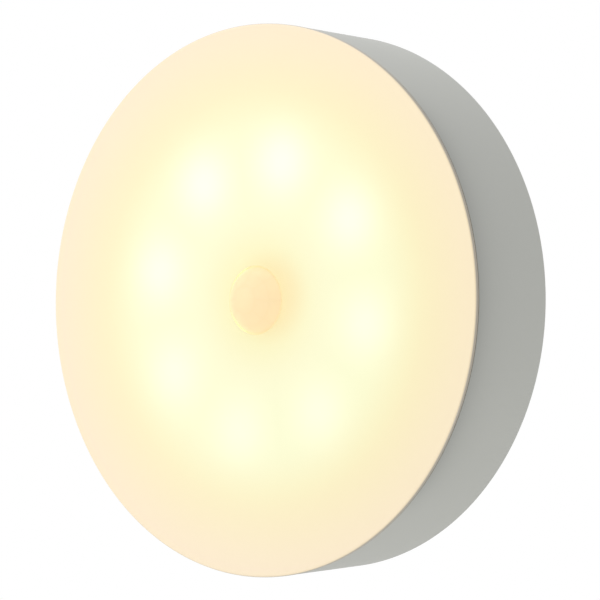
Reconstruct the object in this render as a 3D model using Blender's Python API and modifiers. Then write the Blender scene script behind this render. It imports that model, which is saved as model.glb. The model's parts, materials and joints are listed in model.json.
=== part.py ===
"""Round motion-sensor night light: a shallow moulded cup with an opal face, a sensor dome in the middle of
the face and a ring of eight LEDs behind it, charged through a socket in the wall of the cup.

Units are metres. The lamp is modelled lying on its back along its own axis: local z is 0 on the back face
and grows towards the room. The empty lamp_axis then stands it up, so that the back face lies on y = 0 with
the wall behind it, and the opal face looks along -Y.
"""

import math

import bmesh
import bpy
from mathutils import Matrix, Vector

# Clearances and overruns that every sub-part shares
SEAT_GAP = 0.0002
FILM_GAP = 0.0001
SLIDE_GAP = 0.0003
OVERRUN = 0.0010
FUSE = 0.0005
MERGE = 0.000001

# Facets of turned shapes
BODY_STEPS = 72
SMALL_STEPS = 24
TINY_STEPS = 12
SHARP_ANGLE = math.radians(30)

# Cup: rear housing
FACE_DIAMETER = 0.0800
BACK_INSET = 0.00085
WALL = 0.0018
FLOOR = 0.0016
BACK_EDGE_RADIUS = 0.0003
BEAD_PROUD = 0.0006
BEAD_FLAT = 0.0006
BEAD_SLOPE = 0.0005
BEAD_DROP = 0.0020
BOSS_TOP_RADIUS = 0.0026
BOSS_FOOT_RADIUS = 0.0030
BOSS_RING_SHARE = 0.87
BOSS_ANGLES = [math.radians(a) for a in (110, 230, 350)]
GUSSET = 0.0010
GUSSET_HEIGHT_SHARE = 0.7
FENCE = 0.0010
FENCE_ARM = 0.0070
FENCE_HEIGHT_SHARE = 0.55

# Magnet set into the back face
MAGNET_RADIUS = 0.0100
MAGNET_THICKNESS = 0.0020
MAGNET_WEB = 0.0010
MAGNET_CHAMFER = 0.0003

# Battery and its tape
TAPE = 0.0008
TAPE_WIDTH = 0.0150
CELL_LENGTH = 0.0320
CELL_WIDTH = 0.0300
CELL_THICKNESS = 0.0040
CELL_ROUND = 0.0012
CELL_SIDE_GAP = 0.0004
CELL_UP_SHARE = 0.10
TERRACE_LENGTH = 0.0036
TERRACE_THICKNESS = 0.0006
TERRACE_WIDTH_SHARE = 0.86
GUARD_BOARD_THICKNESS = 0.0008
GUARD_BOARD_DEPTH = 0.0028
GUARD_BOARD_WIDTH_SHARE = 0.75
HEADROOM = 0.0011

# Circuit board
BOARD_THICKNESS = 0.0012
BOARD_EDGE_GAP = 0.0006
SCREW_HOLE_GAP = 0.0003

# Screws
SCREW_RADIUS = 0.0010
SCREW_LENGTH = 0.0050
SCREW_HEAD_RADIUS = 0.0019
SCREW_HEAD_HEIGHT = 0.0013
SCREW_SLOT = 0.0005
SCREW_SLOT_DEPTH = 0.0007
SCREW_SLOT_SHARE = 1.2
PILOT_GAP = 0.0001

# LEDs
LED_COUNT = 8
LED_RING_DIAMETER = 0.0398
LED_START_ANGLE = math.radians(79.8)
LED_LENGTH = 0.0035
LED_WIDTH = 0.0028
LED_HEIGHT = 0.0008
LED_RIM = 0.0004
LED_CUP_DEPTH = 0.0004

# Room between the board and the opal face
LIGHT_GAP = 0.0055

# Opal face: front diffuser
DIFFUSER_PLATE = 0.0015
DIFFUSER_LIP = 0.0006
DIFFUSER_CROWN = 0.0002
DIFFUSER_EDGE_RADIUS = 0.0003
DIFFUSER_RINGS = 6
CLAW_COUNT = 6
CLAW_HALF_ARC = math.radians(8)
CLAW_THICKNESS = 0.0011
HOOK_LAND = 0.0003
HOOK_TAPER = 0.0006
LENS_SEAT_HEIGHT = 0.0010
LENS_SEAT_WALL = 0.0010

# Sensor dome
LENS_RADIUS = 0.0053
LENS_WALL = 0.0006
LENS_SUNK = 0.0022
LENS_FLANGE_REACH = 0.0013
LENS_FLANGE = 0.0008
LENS_FACETS_ROUND = 8
LENS_FACETS_HIGH = 8

# Motion sensor under the dome
CAN_RADIUS = 0.0041
CAN_WALL = 0.0003
CAN_HEIGHT = 0.0035
CAN_FLANGE_RADIUS = 0.0046
HEADER_THICKNESS = 0.0006
HEADER_STANDOFF = 0.0004
SENSOR_PIN_RADIUS = 0.00025
SENSOR_PIN_RING = 0.0025
SENSOR_PIN_ANGLES = [math.radians(a) for a in (45, 135, 270)]
PIN_HOLE_GAP = 0.0002
PIN_STICK_OUT = 0.0005
WINDOW_LENGTH = 0.0040
WINDOW_WIDTH = 0.0030
WINDOW_LAP = 0.0005
WINDOW_THICKNESS = 0.0004
ELEMENT_LENGTH = 0.0042
ELEMENT_WIDTH = 0.0030
ELEMENT_THICKNESS = 0.0008

# Tube that keeps the LEDs' light off the sensor
SHROUD_GAP = 0.0004
SHROUD_WALL = 0.0015
SHROUD_FOOT_REACH = 0.0015
SHROUD_FOOT = 0.0008
PEG_RADIUS = 0.0006

# Daylight sensor, a small domed package
DAYLIGHT_LENGTH = 0.0032
DAYLIGHT_WIDTH = 0.0016
DAYLIGHT_HEIGHT = 0.0011
DAYLIGHT_BULB_RADIUS = 0.0006
DAYLIGHT_ANGLE = math.radians(102)

# Mode switch: three positions, sliding along X
SWITCH_PLACE_SHARE = 0.815
SWITCH_LENGTH = 0.0110
SWITCH_WIDTH = 0.0042
SWITCH_HEIGHT = 0.0034
SWITCH_SHEET = 0.0003
SWITCH_BASE = 0.0009
SWITCH_TRAVEL = 0.0040
SWITCH_PIN_COUNT = 4
SWITCH_PIN_PITCH = 0.0020
SWITCH_PIN_RADIUS = 0.0003
SLIDER_LENGTH = 0.0048
SLIDER_THICKNESS = 0.0012
STEM_SIDE = 0.0016
WIPER_STRIP = 0.00015
WIPER_WIDTH = 0.0014
WIPER_LENGTH_SHARE = 0.8

# Knob of the mode switch and the recess it slides in
RECESS_END = 0.0033
RECESS_SIDE = 0.0018
RECESS_DEPTH = 0.0014
RECESS_ROUND = 0.0016
RECESS_FLOOR = 0.0012
KNOB_LENGTH = 0.0030
KNOB_WIDTH = 0.0028
KNOB_SUNK = 0.0003
KNOB_GRIP_COUNT = 3
KNOB_GRIP = 0.0004
KNOB_GRIP_DEPTH = 0.0003
APRON_THICKNESS = 0.0007
APRON_LAP = 0.0008
COLLAR_WALL = 0.0007
RAIL = 0.0008

# Charging socket in the wall, at the left of the face
SOCKET_LENGTH = 0.0056
SOCKET_WIDTH = 0.0076
SOCKET_HEIGHT = 0.0028
SOCKET_SHEET = 0.0003
SOCKET_SUNK = 0.0004
SOCKET_NOSE_SHARE = 0.36
SOCKET_FOOT = 0.0010
SOCKET_PORT_GAP = 0.0003
TONGUE_LENGTH = 0.0034
TONGUE_WIDTH = 0.0038
TONGUE_THICKNESS = 0.0007
TONGUE_BLOCK = 0.0012

# Battery plug and socket
PLUG_LENGTH = 0.0042
PLUG_WIDTH = 0.0056
PLUG_HEIGHT = 0.0026
PLUG_CASE = 0.0007
PLUG_OFFSET = 0.0018
LEAD_REACH = 0.0046
PLUG_MOUTH = 0.0006
LEAD_RADIUS = 0.0005
LEAD_PITCH = 0.0020
LEAD_POINTS = 12
LEAD_SAG_SHARE = 0.35

# Chips and loose parts on the board
CHIP_LENGTH = 0.0050
CHIP_WIDTH = 0.0039
CHIP_HEIGHT = 0.0015
CHIP_LIFT = 0.0002
CHIP_ROUND = 0.0002
CHIP_LEG = 0.0004
CHIP_LEG_REACH = 0.0010
CHIP_LEG_PITCH = 0.00127
CHIP_LEG_SHEET = 0.0002
TRANSISTOR_LENGTH = 0.0029
TRANSISTOR_WIDTH = 0.0016
TRANSISTOR_HEIGHT = 0.0011
RESISTOR_LENGTH = 0.0020
RESISTOR_WIDTH = 0.0013
RESISTOR_HEIGHT = 0.0005
RESISTOR_CAP_SHARE = 0.25
RESISTOR_CAP_PROUD = 0.0001
CAPACITOR_RADIUS = 0.0020
CAPACITOR_HEIGHT = 0.0044
CAPACITOR_BASE_SIDE = 0.0043
CAPACITOR_BASE = 0.0008
CAPACITOR_CRIMP = 0.0003
# Places on the board's back, as shares of the board's radius
CONTROL_CHIP_SHARE = (0.08, 0.72)
CHARGE_CHIP_SHARE = (-0.68, -0.42)
TRANSISTOR_SHARE = (0.55, -0.58)
CAPACITOR_SHARE = (0.42, 0.75)
# Resistors stand on the board's front between the LEDs, at a share of the board's radius
RESISTOR_COUNT = 4
RESISTOR_RING_SHARE = 0.73

# Heights up the lamp's axis, from the back face to the room
POCKET_DEPTH = MAGNET_THICKNESS + SEAT_GAP
BOSS_CAP = POCKET_DEPTH + MAGNET_WEB
CELL_BACK = BOSS_CAP + FILM_GAP + TAPE + FILM_GAP
CELL_FRONT = CELL_BACK + CELL_THICKNESS
BOARD_BACK = CELL_FRONT + HEADROOM
BOARD_FRONT = BOARD_BACK + BOARD_THICKNESS
RIM_PLANE = BOARD_FRONT + LIGHT_GAP + DIFFUSER_PLATE
WALL_END = RIM_PLANE - DIFFUSER_LIP - SEAT_GAP
PAD_TOP = RECESS_DEPTH + RECESS_FLOOR
MOUNTED_BACK = BOARD_BACK - FILM_GAP
MOUNTED_FRONT = BOARD_FRONT + FILM_GAP

# Lengths and widths that follow from the switch's travel and its knob
RECESS_LENGTH = SWITCH_TRAVEL + KNOB_LENGTH + 2 * RECESS_END
RECESS_WIDTH = KNOB_WIDTH + 2 * RECESS_SIDE
APRON_LENGTH = 2 * (SWITCH_TRAVEL + SLIDE_GAP) + KNOB_LENGTH + FUSE
APRON_WIDTH = KNOB_WIDTH + 2 * APRON_LAP

# Radii that follow from the wall
FACE_RADIUS = FACE_DIAMETER / 2
BACK_RADIUS = FACE_RADIUS - BACK_INSET


def outer_radius(z):
    """Radius of the drafted outer wall at height z."""
    return BACK_RADIUS + (FACE_RADIUS - BACK_RADIUS) * z / RIM_PLANE


def inner_radius(z):
    """Radius of the inner wall at height z."""
    return outer_radius(z) - WALL


BEAD_HEIGHT = WALL_END - BEAD_DROP
BEAD_LOW = BEAD_HEIGHT - BEAD_FLAT / 2 - BEAD_SLOPE
BEAD_HIGH = BEAD_HEIGHT + BEAD_FLAT / 2 + BEAD_SLOPE
BEAD_RADIUS = inner_radius(BEAD_HEIGHT) - BEAD_PROUD
BOARD_RADIUS = min(BEAD_RADIUS, inner_radius(BOARD_BACK)) - BOARD_EDGE_GAP
BOSS_RING = BOARD_RADIUS * BOSS_RING_SHARE
SWITCH_Y = -BOARD_RADIUS * SWITCH_PLACE_SHARE
SLIDER_REST_X = -SWITCH_TRAVEL / 2
CELL_Y = CELL_WIDTH * CELL_UP_SHARE
BATTERY_END = (CELL_LENGTH + TERRACE_LENGTH) / 2

# Each finish: colour (linear RGB), roughness, metallic
FINISHES = {
    "housing_plastic": ((0.46, 0.47, 0.44), 0.42, 0.0),
    "opal_diffuser": ((0.95, 0.86, 0.66), 0.45, 0.0),
    "lens_plastic": ((0.94, 0.80, 0.58), 0.30, 0.0),
    "white_plastic": ((0.80, 0.80, 0.78), 0.50, 0.0),
    "magnet_nickel": ((0.62, 0.61, 0.58), 0.25, 1.0),
    "board_white": ((0.82, 0.83, 0.80), 0.40, 0.0),
    "led_package": ((0.88, 0.87, 0.82), 0.45, 0.0),
    "led_phosphor": ((0.90, 0.62, 0.10), 0.55, 0.0),
    "steel": ((0.55, 0.55, 0.55), 0.32, 1.0),
    "sensor_window": ((0.05, 0.05, 0.06), 0.20, 0.0),
    "ceramic": ((0.75, 0.72, 0.66), 0.60, 0.0),
    "chip_black": ((0.02, 0.02, 0.02), 0.55, 0.0),
    "cell_foil": ((0.60, 0.62, 0.64), 0.35, 0.6),
    "guard_board": ((0.05, 0.22, 0.09), 0.45, 0.0),
    "foam_tape": ((0.20, 0.20, 0.21), 0.90, 0.0),
    "lead_red": ((0.55, 0.03, 0.03), 0.50, 0.0),
    "lead_black": ((0.03, 0.03, 0.03), 0.50, 0.0),
}


def clear_scene():
    """Empties the scene and makes the two collections."""
    for obj in list(bpy.data.objects):
        bpy.data.objects.remove(obj, do_unlink=True)
    made = []
    for name in ("night_light", "cutters"):
        collection = bpy.data.collections.new(name)
        bpy.context.scene.collection.children.link(collection)
        made.append(collection)
    return made


PARTS, CUTTERS = clear_scene()
LAMP = bpy.data.objects.new("lamp_axis", None)
LAMP.rotation_euler = (math.radians(90), 0, 0)
PARTS.objects.link(LAMP)


def finish_material(slot):
    """The Principled material of a finish, made once."""
    found = bpy.data.materials.get(slot)
    if found:
        return found
    colour, roughness, metallic = FINISHES[slot]
    material = bpy.data.materials.new(slot)
    material.use_nodes = True
    shader = material.node_tree.nodes["Principled BSDF"]
    shader.inputs["Base Color"].default_value = (*colour, 1)
    shader.inputs["Roughness"].default_value = roughness
    shader.inputs["Metallic"].default_value = metallic
    return material


def put(name, bm, place, finish, turn=0):
    """Turns a bmesh into an object on the lamp's axis: a piece if it has a finish, otherwise a helper."""
    mesh = bpy.data.meshes.new(name)
    bmesh.ops.recalc_face_normals(bm, faces=bm.faces)
    bm.to_mesh(mesh)
    bm.free()
    obj = bpy.data.objects.new(name, mesh)
    obj.parent = LAMP
    obj.location = place
    obj.rotation_euler = (0, 0, turn)
    if finish:
        PARTS.objects.link(obj)
        mesh.materials.append(finish_material(finish))
    else:
        CUTTERS.objects.link(obj)
        obj.hide_render = True
        obj.display_type = "WIRE"
    return obj


def box(name, size, place, finish=None, turn=0):
    """A box of a size, centred on a place."""
    bm = bmesh.new()
    bmesh.ops.create_cube(bm, size=1, matrix=Matrix.Diagonal((*size, 1)))
    return put(name, bm, place, finish, turn)


def block(name, low, high, finish=None):
    """A box between two corners."""
    low, high = Vector(low), Vector(high)
    return box(name, high - low, (low + high) / 2, finish)


def cylinder(name, radius, low, high, x=0, y=0, finish=None, top_radius=None, steps=SMALL_STEPS):
    """An upright cylinder or cone from height low to height high."""
    bm = bmesh.new()
    bmesh.ops.create_cone(
        bm,
        cap_ends=True,
        segments=steps,
        radius1=radius,
        radius2=radius if top_radius is None else top_radius,
        depth=high - low,
    )
    return put(name, bm, (x, y, (low + high) / 2), finish)


def prism(name, outline, low, high, axis="z", place=(0, 0, 0), finish=None):
    """A flat outline drawn out along one axis. Its two numbers run along the other two axes, in order."""
    turned_to = {
        "x": lambda a, b, along: (along, a, b),
        "y": lambda a, b, along: (a, along, b),
        "z": lambda a, b, along: (a, b, along),
    }[axis]
    bm = bmesh.new()
    face = bm.faces.new([bm.verts.new(turned_to(a, b, low)) for a, b in outline])
    made = bmesh.ops.extrude_face_region(bm, geom=[face])
    far = [v for v in made["geom"] if isinstance(v, bmesh.types.BMVert)]
    bmesh.ops.translate(bm, verts=far, vec=turned_to(0, 0, high - low))
    return put(name, bm, place, finish)


def turned(name, outline, closed, finish=None, steps=BODY_STEPS, x=0, y=0):
    """A profile of (radius, height) points turned round the lamp's axis, or round an upright at x, y."""
    bm = bmesh.new()
    points = [bm.verts.new((radius, 0, height)) for radius, height in outline]
    following = points[1:] + points[:1] if closed else points[1:]
    for first, second in zip(points, following):
        bm.edges.new((first, second))
    obj = put(name, bm, (x, y, 0), finish)
    screw = obj.modifiers.new("Turn", "SCREW")
    screw.steps = screw.render_steps = steps
    screw.use_merge_vertices = True
    screw.merge_threshold = MERGE
    screw.use_smooth_shade = True
    return obj


def arc(centre_r, centre_z, radius, start, end, points):
    """Points along an arc, with angles in degrees from the direction of growing radius."""
    angles = [math.radians(start + (end - start) * i / (points - 1)) for i in range(points)]
    return [(centre_r + radius * math.cos(a), centre_z + radius * math.sin(a)) for a in angles]


def rounded_outline(length, width, radius, corner_points=4):
    """Outline of a rectangle with round corners, centred on zero."""
    points = []
    for quarter, (sx, sy) in enumerate(((1, 1), (-1, 1), (-1, -1), (1, -1))):
        centre_x = sx * (length / 2 - radius)
        centre_y = sy * (width / 2 - radius)
        points += arc(centre_x, centre_y, radius, 90 * quarter, 90 * quarter + 90, corner_points)
    return points


def combine(obj, other, operation):
    """Adds an exact Boolean of one object to another."""
    modifier = obj.modifiers.new(other.name, "BOOLEAN")
    modifier.operation = operation
    modifier.solver = "EXACT"
    modifier.object = other


def add(obj, *others):
    """Joins helpers to a piece."""
    for other in others:
        combine(obj, other, "UNION")


def cut(obj, *others):
    """Takes helpers out of a piece."""
    for other in others:
        combine(obj, other, "DIFFERENCE")


def soften(obj, width, segments=2):
    """Rounds the edges of a piece."""
    bevel = obj.modifiers.new("Round", "BEVEL")
    bevel.width = width
    bevel.segments = segments
    bevel.limit_method = "ANGLE"


def on_ring(radius, angle):
    """The x and y of a point on a ring."""
    return radius * math.cos(angle), radius * math.sin(angle)


def housing_profile():
    """Half section of the cup: inner floor, inner wall with its catch bead, outer wall, back face."""
    pocket_radius = MAGNET_RADIUS + SEAT_GAP
    boss_radius = pocket_radius + WALL
    inside = [
        (0, BOSS_CAP),
        (boss_radius, BOSS_CAP),
        (boss_radius, FLOOR),
        (inner_radius(FLOOR) - FLOOR / 2, FLOOR),
        (inner_radius(FLOOR + FLOOR / 2), FLOOR + FLOOR / 2),
        (inner_radius(BEAD_LOW), BEAD_LOW),
        (BEAD_RADIUS, BEAD_LOW + BEAD_SLOPE),
        (BEAD_RADIUS, BEAD_HIGH - BEAD_SLOPE),
        (inner_radius(BEAD_HIGH), BEAD_HIGH),
        (inner_radius(WALL_END), WALL_END),
    ]
    edge = arc(BACK_RADIUS - BACK_EDGE_RADIUS, BACK_EDGE_RADIUS, BACK_EDGE_RADIUS, 0, -90, 4)
    outside = [
        (outer_radius(WALL_END), WALL_END),
        *edge,
        (pocket_radius, 0),
        (pocket_radius, POCKET_DEPTH),
        (0, POCKET_DEPTH),
    ]
    return inside + outside


def add_board_bosses(housing):
    """Three tapered screw bosses under the board, each tied to the wall by a gusset."""
    top = BOARD_BACK - SEAT_GAP
    gusset_top = FLOOR + (top - FLOOR) * GUSSET_HEIGHT_SHARE
    for number, angle in enumerate(BOSS_ANGLES, 1):
        x, y = on_ring(BOSS_RING, angle)
        boss = cylinder(
            f"boss_{number}", BOSS_FOOT_RADIUS, FLOOR - FUSE, top, x, y, top_radius=BOSS_TOP_RADIUS
        )
        reach = inner_radius(FLOOR) + FUSE - BOSS_RING
        middle_x, middle_y = on_ring(BOSS_RING + reach / 2, angle)
        low = FLOOR - FUSE
        gusset = box(
            f"gusset_{number}",
            (reach, GUSSET, gusset_top - low),
            (middle_x, middle_y, (low + gusset_top) / 2),
            turn=angle,
        )
        add(housing, boss, gusset)
    for number, angle in enumerate(BOSS_ANGLES, 1):
        x, y = on_ring(BOSS_RING, angle)
        depth = SCREW_LENGTH - BOARD_THICKNESS + OVERRUN
        pilot = cylinder(
            f"pilot_{number}",
            SCREW_RADIUS + PILOT_GAP,
            top - depth,
            top + OVERRUN,
            x,
            y,
            steps=TINY_STEPS,
        )
        cut(housing, pilot)


def add_battery_fence(housing):
    """Four corner brackets on the floor that keep the battery from sliding."""
    inner_x = BATTERY_END + CELL_SIDE_GAP
    inner_y = CELL_WIDTH / 2 + CELL_SIDE_GAP
    top = CELL_BACK + CELL_THICKNESS * FENCE_HEIGHT_SHARE
    for number, (sx, sy) in enumerate(((1, 1), (-1, 1), (-1, -1), (1, -1)), 1):
        corner = [
            (inner_x - FENCE_ARM, inner_y),
            (inner_x, inner_y),
            (inner_x, inner_y - FENCE_ARM),
            (inner_x + FENCE, inner_y - FENCE_ARM),
            (inner_x + FENCE, inner_y + FENCE),
            (inner_x - FENCE_ARM, inner_y + FENCE),
        ]
        outline = [(sx * x, CELL_Y + sy * y) for x, y in corner]
        add(housing, prism(f"fence_{number}", outline, FLOOR - FUSE, top))


def add_switch_recess(housing):
    """The recess in the back face for the knob, its raised floor inside, two guide rails and the slot."""
    half_length = RECESS_LENGTH / 2 + RECESS_FLOOR
    half_width = RECESS_WIDTH / 2 + RECESS_FLOOR
    rail_top = PAD_TOP + SLIDE_GAP + APRON_THICKNESS
    rail_inner = APRON_WIDTH / 2 + SLIDE_GAP
    half_section = [
        (half_width, FLOOR - FUSE),
        (half_width, PAD_TOP),
        (rail_inner + RAIL, PAD_TOP),
        (rail_inner + RAIL, rail_top),
        (rail_inner, rail_top),
        (rail_inner, PAD_TOP),
    ]
    section = half_section + [(-y, z) for y, z in reversed(half_section)]
    place = (0, SWITCH_Y, 0)
    add(housing, prism("recess_pad", section, -half_length, half_length, "x", place))
    recess = prism(
        "recess",
        rounded_outline(RECESS_LENGTH, RECESS_WIDTH, RECESS_ROUND),
        -OVERRUN,
        RECESS_DEPTH,
        place=place,
    )
    slot_x = (SWITCH_TRAVEL + KNOB_LENGTH) / 2 + SLIDE_GAP
    slot_y = KNOB_WIDTH / 2 + SLIDE_GAP
    slot = block(
        "knob_slot",
        (-slot_x, SWITCH_Y - slot_y, RECESS_DEPTH - FUSE),
        (slot_x, SWITCH_Y + slot_y, PAD_TOP + OVERRUN),
    )
    cut(housing, recess, slot)


def socket_outline(width, height):
    """Section of the charging socket: a rectangle whose side away from the board is narrower."""
    nose = width / 2 * (1 - SOCKET_NOSE_SHARE / 2)
    return [
        (-width / 2, height / 2),
        (-width / 2, 0),
        (-nose, -height / 2),
        (nose, -height / 2),
        (width / 2, 0),
        (width / 2, height / 2),
    ]


def socket_prism(name, width, height, x_low, x_high, finish=None):
    """The socket's section drawn out along x, hanging under the board."""
    place = (x_low, 0, MOUNTED_BACK - SOCKET_HEIGHT / 2)
    return prism(name, socket_outline(width, height), 0, x_high - x_low, "x", place, finish)


def make_housing():
    """The cup that holds everything."""
    housing = turned("rear_housing", housing_profile(), closed=False, finish="housing_plastic")
    add_board_bosses(housing)
    add_battery_fence(housing)
    add_switch_recess(housing)
    port = socket_prism(
        "socket_port",
        SOCKET_WIDTH + 2 * SOCKET_PORT_GAP,
        SOCKET_HEIGHT + 2 * SOCKET_PORT_GAP,
        -FACE_RADIUS - OVERRUN,
        -inner_radius(0) + OVERRUN,
    )
    cut(housing, port)


def diffuser_top(radius):
    """Height of the crowned outer surface at a radius."""
    edge = FACE_RADIUS - DIFFUSER_EDGE_RADIUS
    return RIM_PLANE + DIFFUSER_CROWN * (1 - (radius / edge) ** 2)


def diffuser_under(radius):
    """Height of the opal plate's inner surface at a radius."""
    return diffuser_top(radius) - DIFFUSER_PLATE


def dome_bore():
    """Round section of the dome's hole, from the back of the opal plate to its front."""
    centre = RIM_PLANE - LENS_SUNK
    radius = LENS_RADIUS + SEAT_GAP
    low = math.degrees(math.asin((diffuser_under(LENS_RADIUS) - centre) / radius))
    high = math.degrees(math.asin((diffuser_top(LENS_RADIUS) - centre) / radius))
    return arc(0, centre, radius, low, high, 4)


def diffuser_profile():
    """Half section of the opal face: crowned plate, lip over the wall, hooked skirt, seat for the dome."""
    bore = dome_bore()
    hole = bore[-1][0]
    edge = FACE_RADIUS - DIFFUSER_EDGE_RADIUS
    radii = [hole + (edge - hole) * i / DIFFUSER_RINGS for i in range(DIFFUSER_RINGS)]
    top = [(r, diffuser_top(r)) for r in radii]
    rim = arc(edge, RIM_PLANE - DIFFUSER_EDGE_RADIUS, DIFFUSER_EDGE_RADIUS, 90, 0, 4)
    lip_back = RIM_PLANE - DIFFUSER_LIP
    plug_end = BEAD_HIGH + SEAT_GAP
    plug_radius = inner_radius(plug_end) - SEAT_GAP
    arm_radius = BEAD_RADIUS - SEAT_GAP
    hook_top = BEAD_LOW - FILM_GAP
    hook_low = hook_top - HOOK_LAND
    hook_radius = inner_radius(hook_low) - SEAT_GAP
    arm_end = hook_low - HOOK_TAPER
    arm_inner = arm_radius - CLAW_THICKNESS
    skirt = [
        (FACE_RADIUS, lip_back),
        (plug_radius, lip_back),
        (plug_radius, plug_end),
        (arm_radius, plug_end),
        (arm_radius, hook_top),
        (hook_radius, hook_top),
        (hook_radius, hook_low),
        (arm_radius, arm_end),
        (arm_inner, arm_end),
        (arm_inner, diffuser_under(arm_inner)),
    ]
    seat_inner = LENS_RADIUS + LENS_FLANGE_REACH + SEAT_GAP
    seat_outer = seat_inner + LENS_SEAT_WALL
    under = [(r, diffuser_under(r)) for r in reversed(radii) if seat_outer < r < arm_inner]
    seat = [
        (seat_outer, diffuser_under(seat_outer)),
        (seat_outer, diffuser_under(seat_outer) - LENS_SEAT_HEIGHT),
        (seat_inner, diffuser_under(seat_outer) - LENS_SEAT_HEIGHT),
        (seat_inner, diffuser_under(seat_inner)),
    ]
    return top + rim + skirt + under + seat + bore[:-1], arm_end, plug_end


def make_diffuser():
    """The opal face. Its skirt is cut away between the claws that hook under the cup's bead."""
    profile, arm_end, plug_end = diffuser_profile()
    diffuser = turned("front_diffuser", profile, closed=True, finish="opal_diffuser")
    step = 2 * math.pi / CLAW_COUNT
    reach = FACE_RADIUS + OVERRUN
    for number in range(CLAW_COUNT):
        start = number * step + CLAW_HALF_ARC
        end = (number + 1) * step - CLAW_HALF_ARC
        angles = [start + (end - start) * i / 4 for i in range(5)]
        outline = [on_ring(LENS_RADIUS + LENS_FLANGE_REACH + 2 * LENS_SEAT_WALL, (start + end) / 2)]
        outline += [on_ring(reach, a) for a in angles]
        wedge = prism(f"claw_gap_{number + 1}", outline, arm_end - OVERRUN, plug_end + SEAT_GAP)
        cut(diffuser, wedge)


def lens_levels():
    """Heights of the dome's centre, and of its flange's back and front."""
    centre = RIM_PLANE - LENS_SUNK
    front = diffuser_under(LENS_RADIUS + LENS_FLANGE_REACH) - SEAT_GAP
    return centre, front - LENS_FLANGE, front


def make_lens():
    """The sensor dome: smooth outside, faceted inside, with a flange behind the opal plate."""
    centre, flange_back, flange_front = lens_levels()
    foot = math.degrees(math.asin((flange_front - centre) / LENS_RADIUS))
    outline = arc(0, centre, LENS_RADIUS, 90, foot, 10)
    outline[0] = (0, centre + LENS_RADIUS)
    flange_radius = LENS_RADIUS + LENS_FLANGE_REACH
    outline += [(flange_radius, flange_front), (flange_radius, flange_back), (0, flange_back)]
    lens = turned("sensor_lens", outline, closed=False, finish="lens_plastic", steps=2 * SMALL_STEPS)
    bm = bmesh.new()
    bmesh.ops.create_uvsphere(
        bm,
        u_segments=LENS_FACETS_ROUND,
        v_segments=LENS_FACETS_HIGH,
        radius=LENS_RADIUS - LENS_WALL,
    )
    cut(lens, put("lens_facets", bm, (0, 0, centre), None))


def make_sensor():
    """The motion sensor: a metal can over a header with three pins, its window and its element."""
    header_back = BOARD_FRONT + HEADER_STANDOFF
    header_front = header_back + HEADER_THICKNESS
    header = cylinder("sensor_header", CAN_FLANGE_RADIUS, header_back, header_front, finish="steel")
    pin_low = BOARD_BACK - PIN_STICK_OUT
    for number, angle in enumerate(SENSOR_PIN_ANGLES, 1):
        x, y = on_ring(SENSOR_PIN_RING, angle)
        add(
            header,
            cylinder(
                f"sensor_pin_{number}",
                SENSOR_PIN_RADIUS,
                pin_low,
                header_back + HEADER_THICKNESS / 2,
                x,
                y,
                steps=TINY_STEPS,
            ),
        )
    can_back = header_front + FILM_GAP
    can_front = can_back + CAN_HEIGHT
    cavity_top = can_front - CAN_WALL
    inner = CAN_RADIUS - CAN_WALL
    outline = [
        (0, can_front),
        (CAN_RADIUS - CAN_WALL, can_front),
        (CAN_RADIUS, cavity_top),
        (CAN_RADIUS, can_back + CAN_WALL),
        (CAN_FLANGE_RADIUS, can_back + CAN_WALL),
        (CAN_FLANGE_RADIUS, can_back),
        (inner, can_back),
        (inner, cavity_top),
        (0, cavity_top),
    ]
    can = turned("sensor_can", outline, closed=False, finish="steel", steps=2 * SMALL_STEPS)
    cut(can, box("window_opening", (WINDOW_LENGTH, WINDOW_WIDTH, CAN_HEIGHT), (0, 0, can_front)))
    window_top = cavity_top - FILM_GAP
    box(
        "sensor_window",
        (WINDOW_LENGTH + 2 * WINDOW_LAP, WINDOW_WIDTH + 2 * WINDOW_LAP, WINDOW_THICKNESS),
        (0, 0, window_top - WINDOW_THICKNESS / 2),
        "sensor_window",
    )
    box(
        "sensor_element",
        (ELEMENT_LENGTH, ELEMENT_WIDTH, ELEMENT_THICKNESS),
        (0, 0, can_back + ELEMENT_THICKNESS / 2),
        "ceramic",
    )


def shroud_radii():
    """Inner, outer and foot radius of the tube round the sensor."""
    inner = CAN_FLANGE_RADIUS + SHROUD_GAP
    outer = inner + SHROUD_WALL
    return inner, outer, outer + SHROUD_FOOT_REACH


def peg_places():
    """Centres of the two pegs that hold the tube on the board."""
    _, outer, foot = shroud_radii()
    middle = (outer + foot) / 2
    return [(0, middle), (0, -middle)]


def make_shroud():
    """The tube between the board and the dome's flange."""
    inner, outer, foot = shroud_radii()
    _, flange_back, _ = lens_levels()
    top = flange_back - SEAT_GAP
    outline = [
        (outer, top),
        (outer, MOUNTED_FRONT + SHROUD_FOOT),
        (foot, MOUNTED_FRONT + SHROUD_FOOT),
        (foot, MOUNTED_FRONT),
        (inner, MOUNTED_FRONT),
        (inner, top),
    ]
    shroud = turned("sensor_shroud", outline, closed=True, finish="white_plastic", steps=2 * SMALL_STEPS)
    peg_low = BOARD_BACK - PIN_STICK_OUT
    peg_top = MOUNTED_FRONT + SHROUD_FOOT / 2
    for number, (x, y) in enumerate(peg_places(), 1):
        add(shroud, cylinder(f"peg_{number}", PEG_RADIUS, peg_low, peg_top, x, y, steps=TINY_STEPS))


def switch_pin_places():
    """Centres of the mode switch's pins, in a row along x."""
    first = -SWITCH_PIN_PITCH * (SWITCH_PIN_COUNT - 1) / 2
    return [(first + SWITCH_PIN_PITCH * i, SWITCH_Y) for i in range(SWITCH_PIN_COUNT)]


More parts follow.
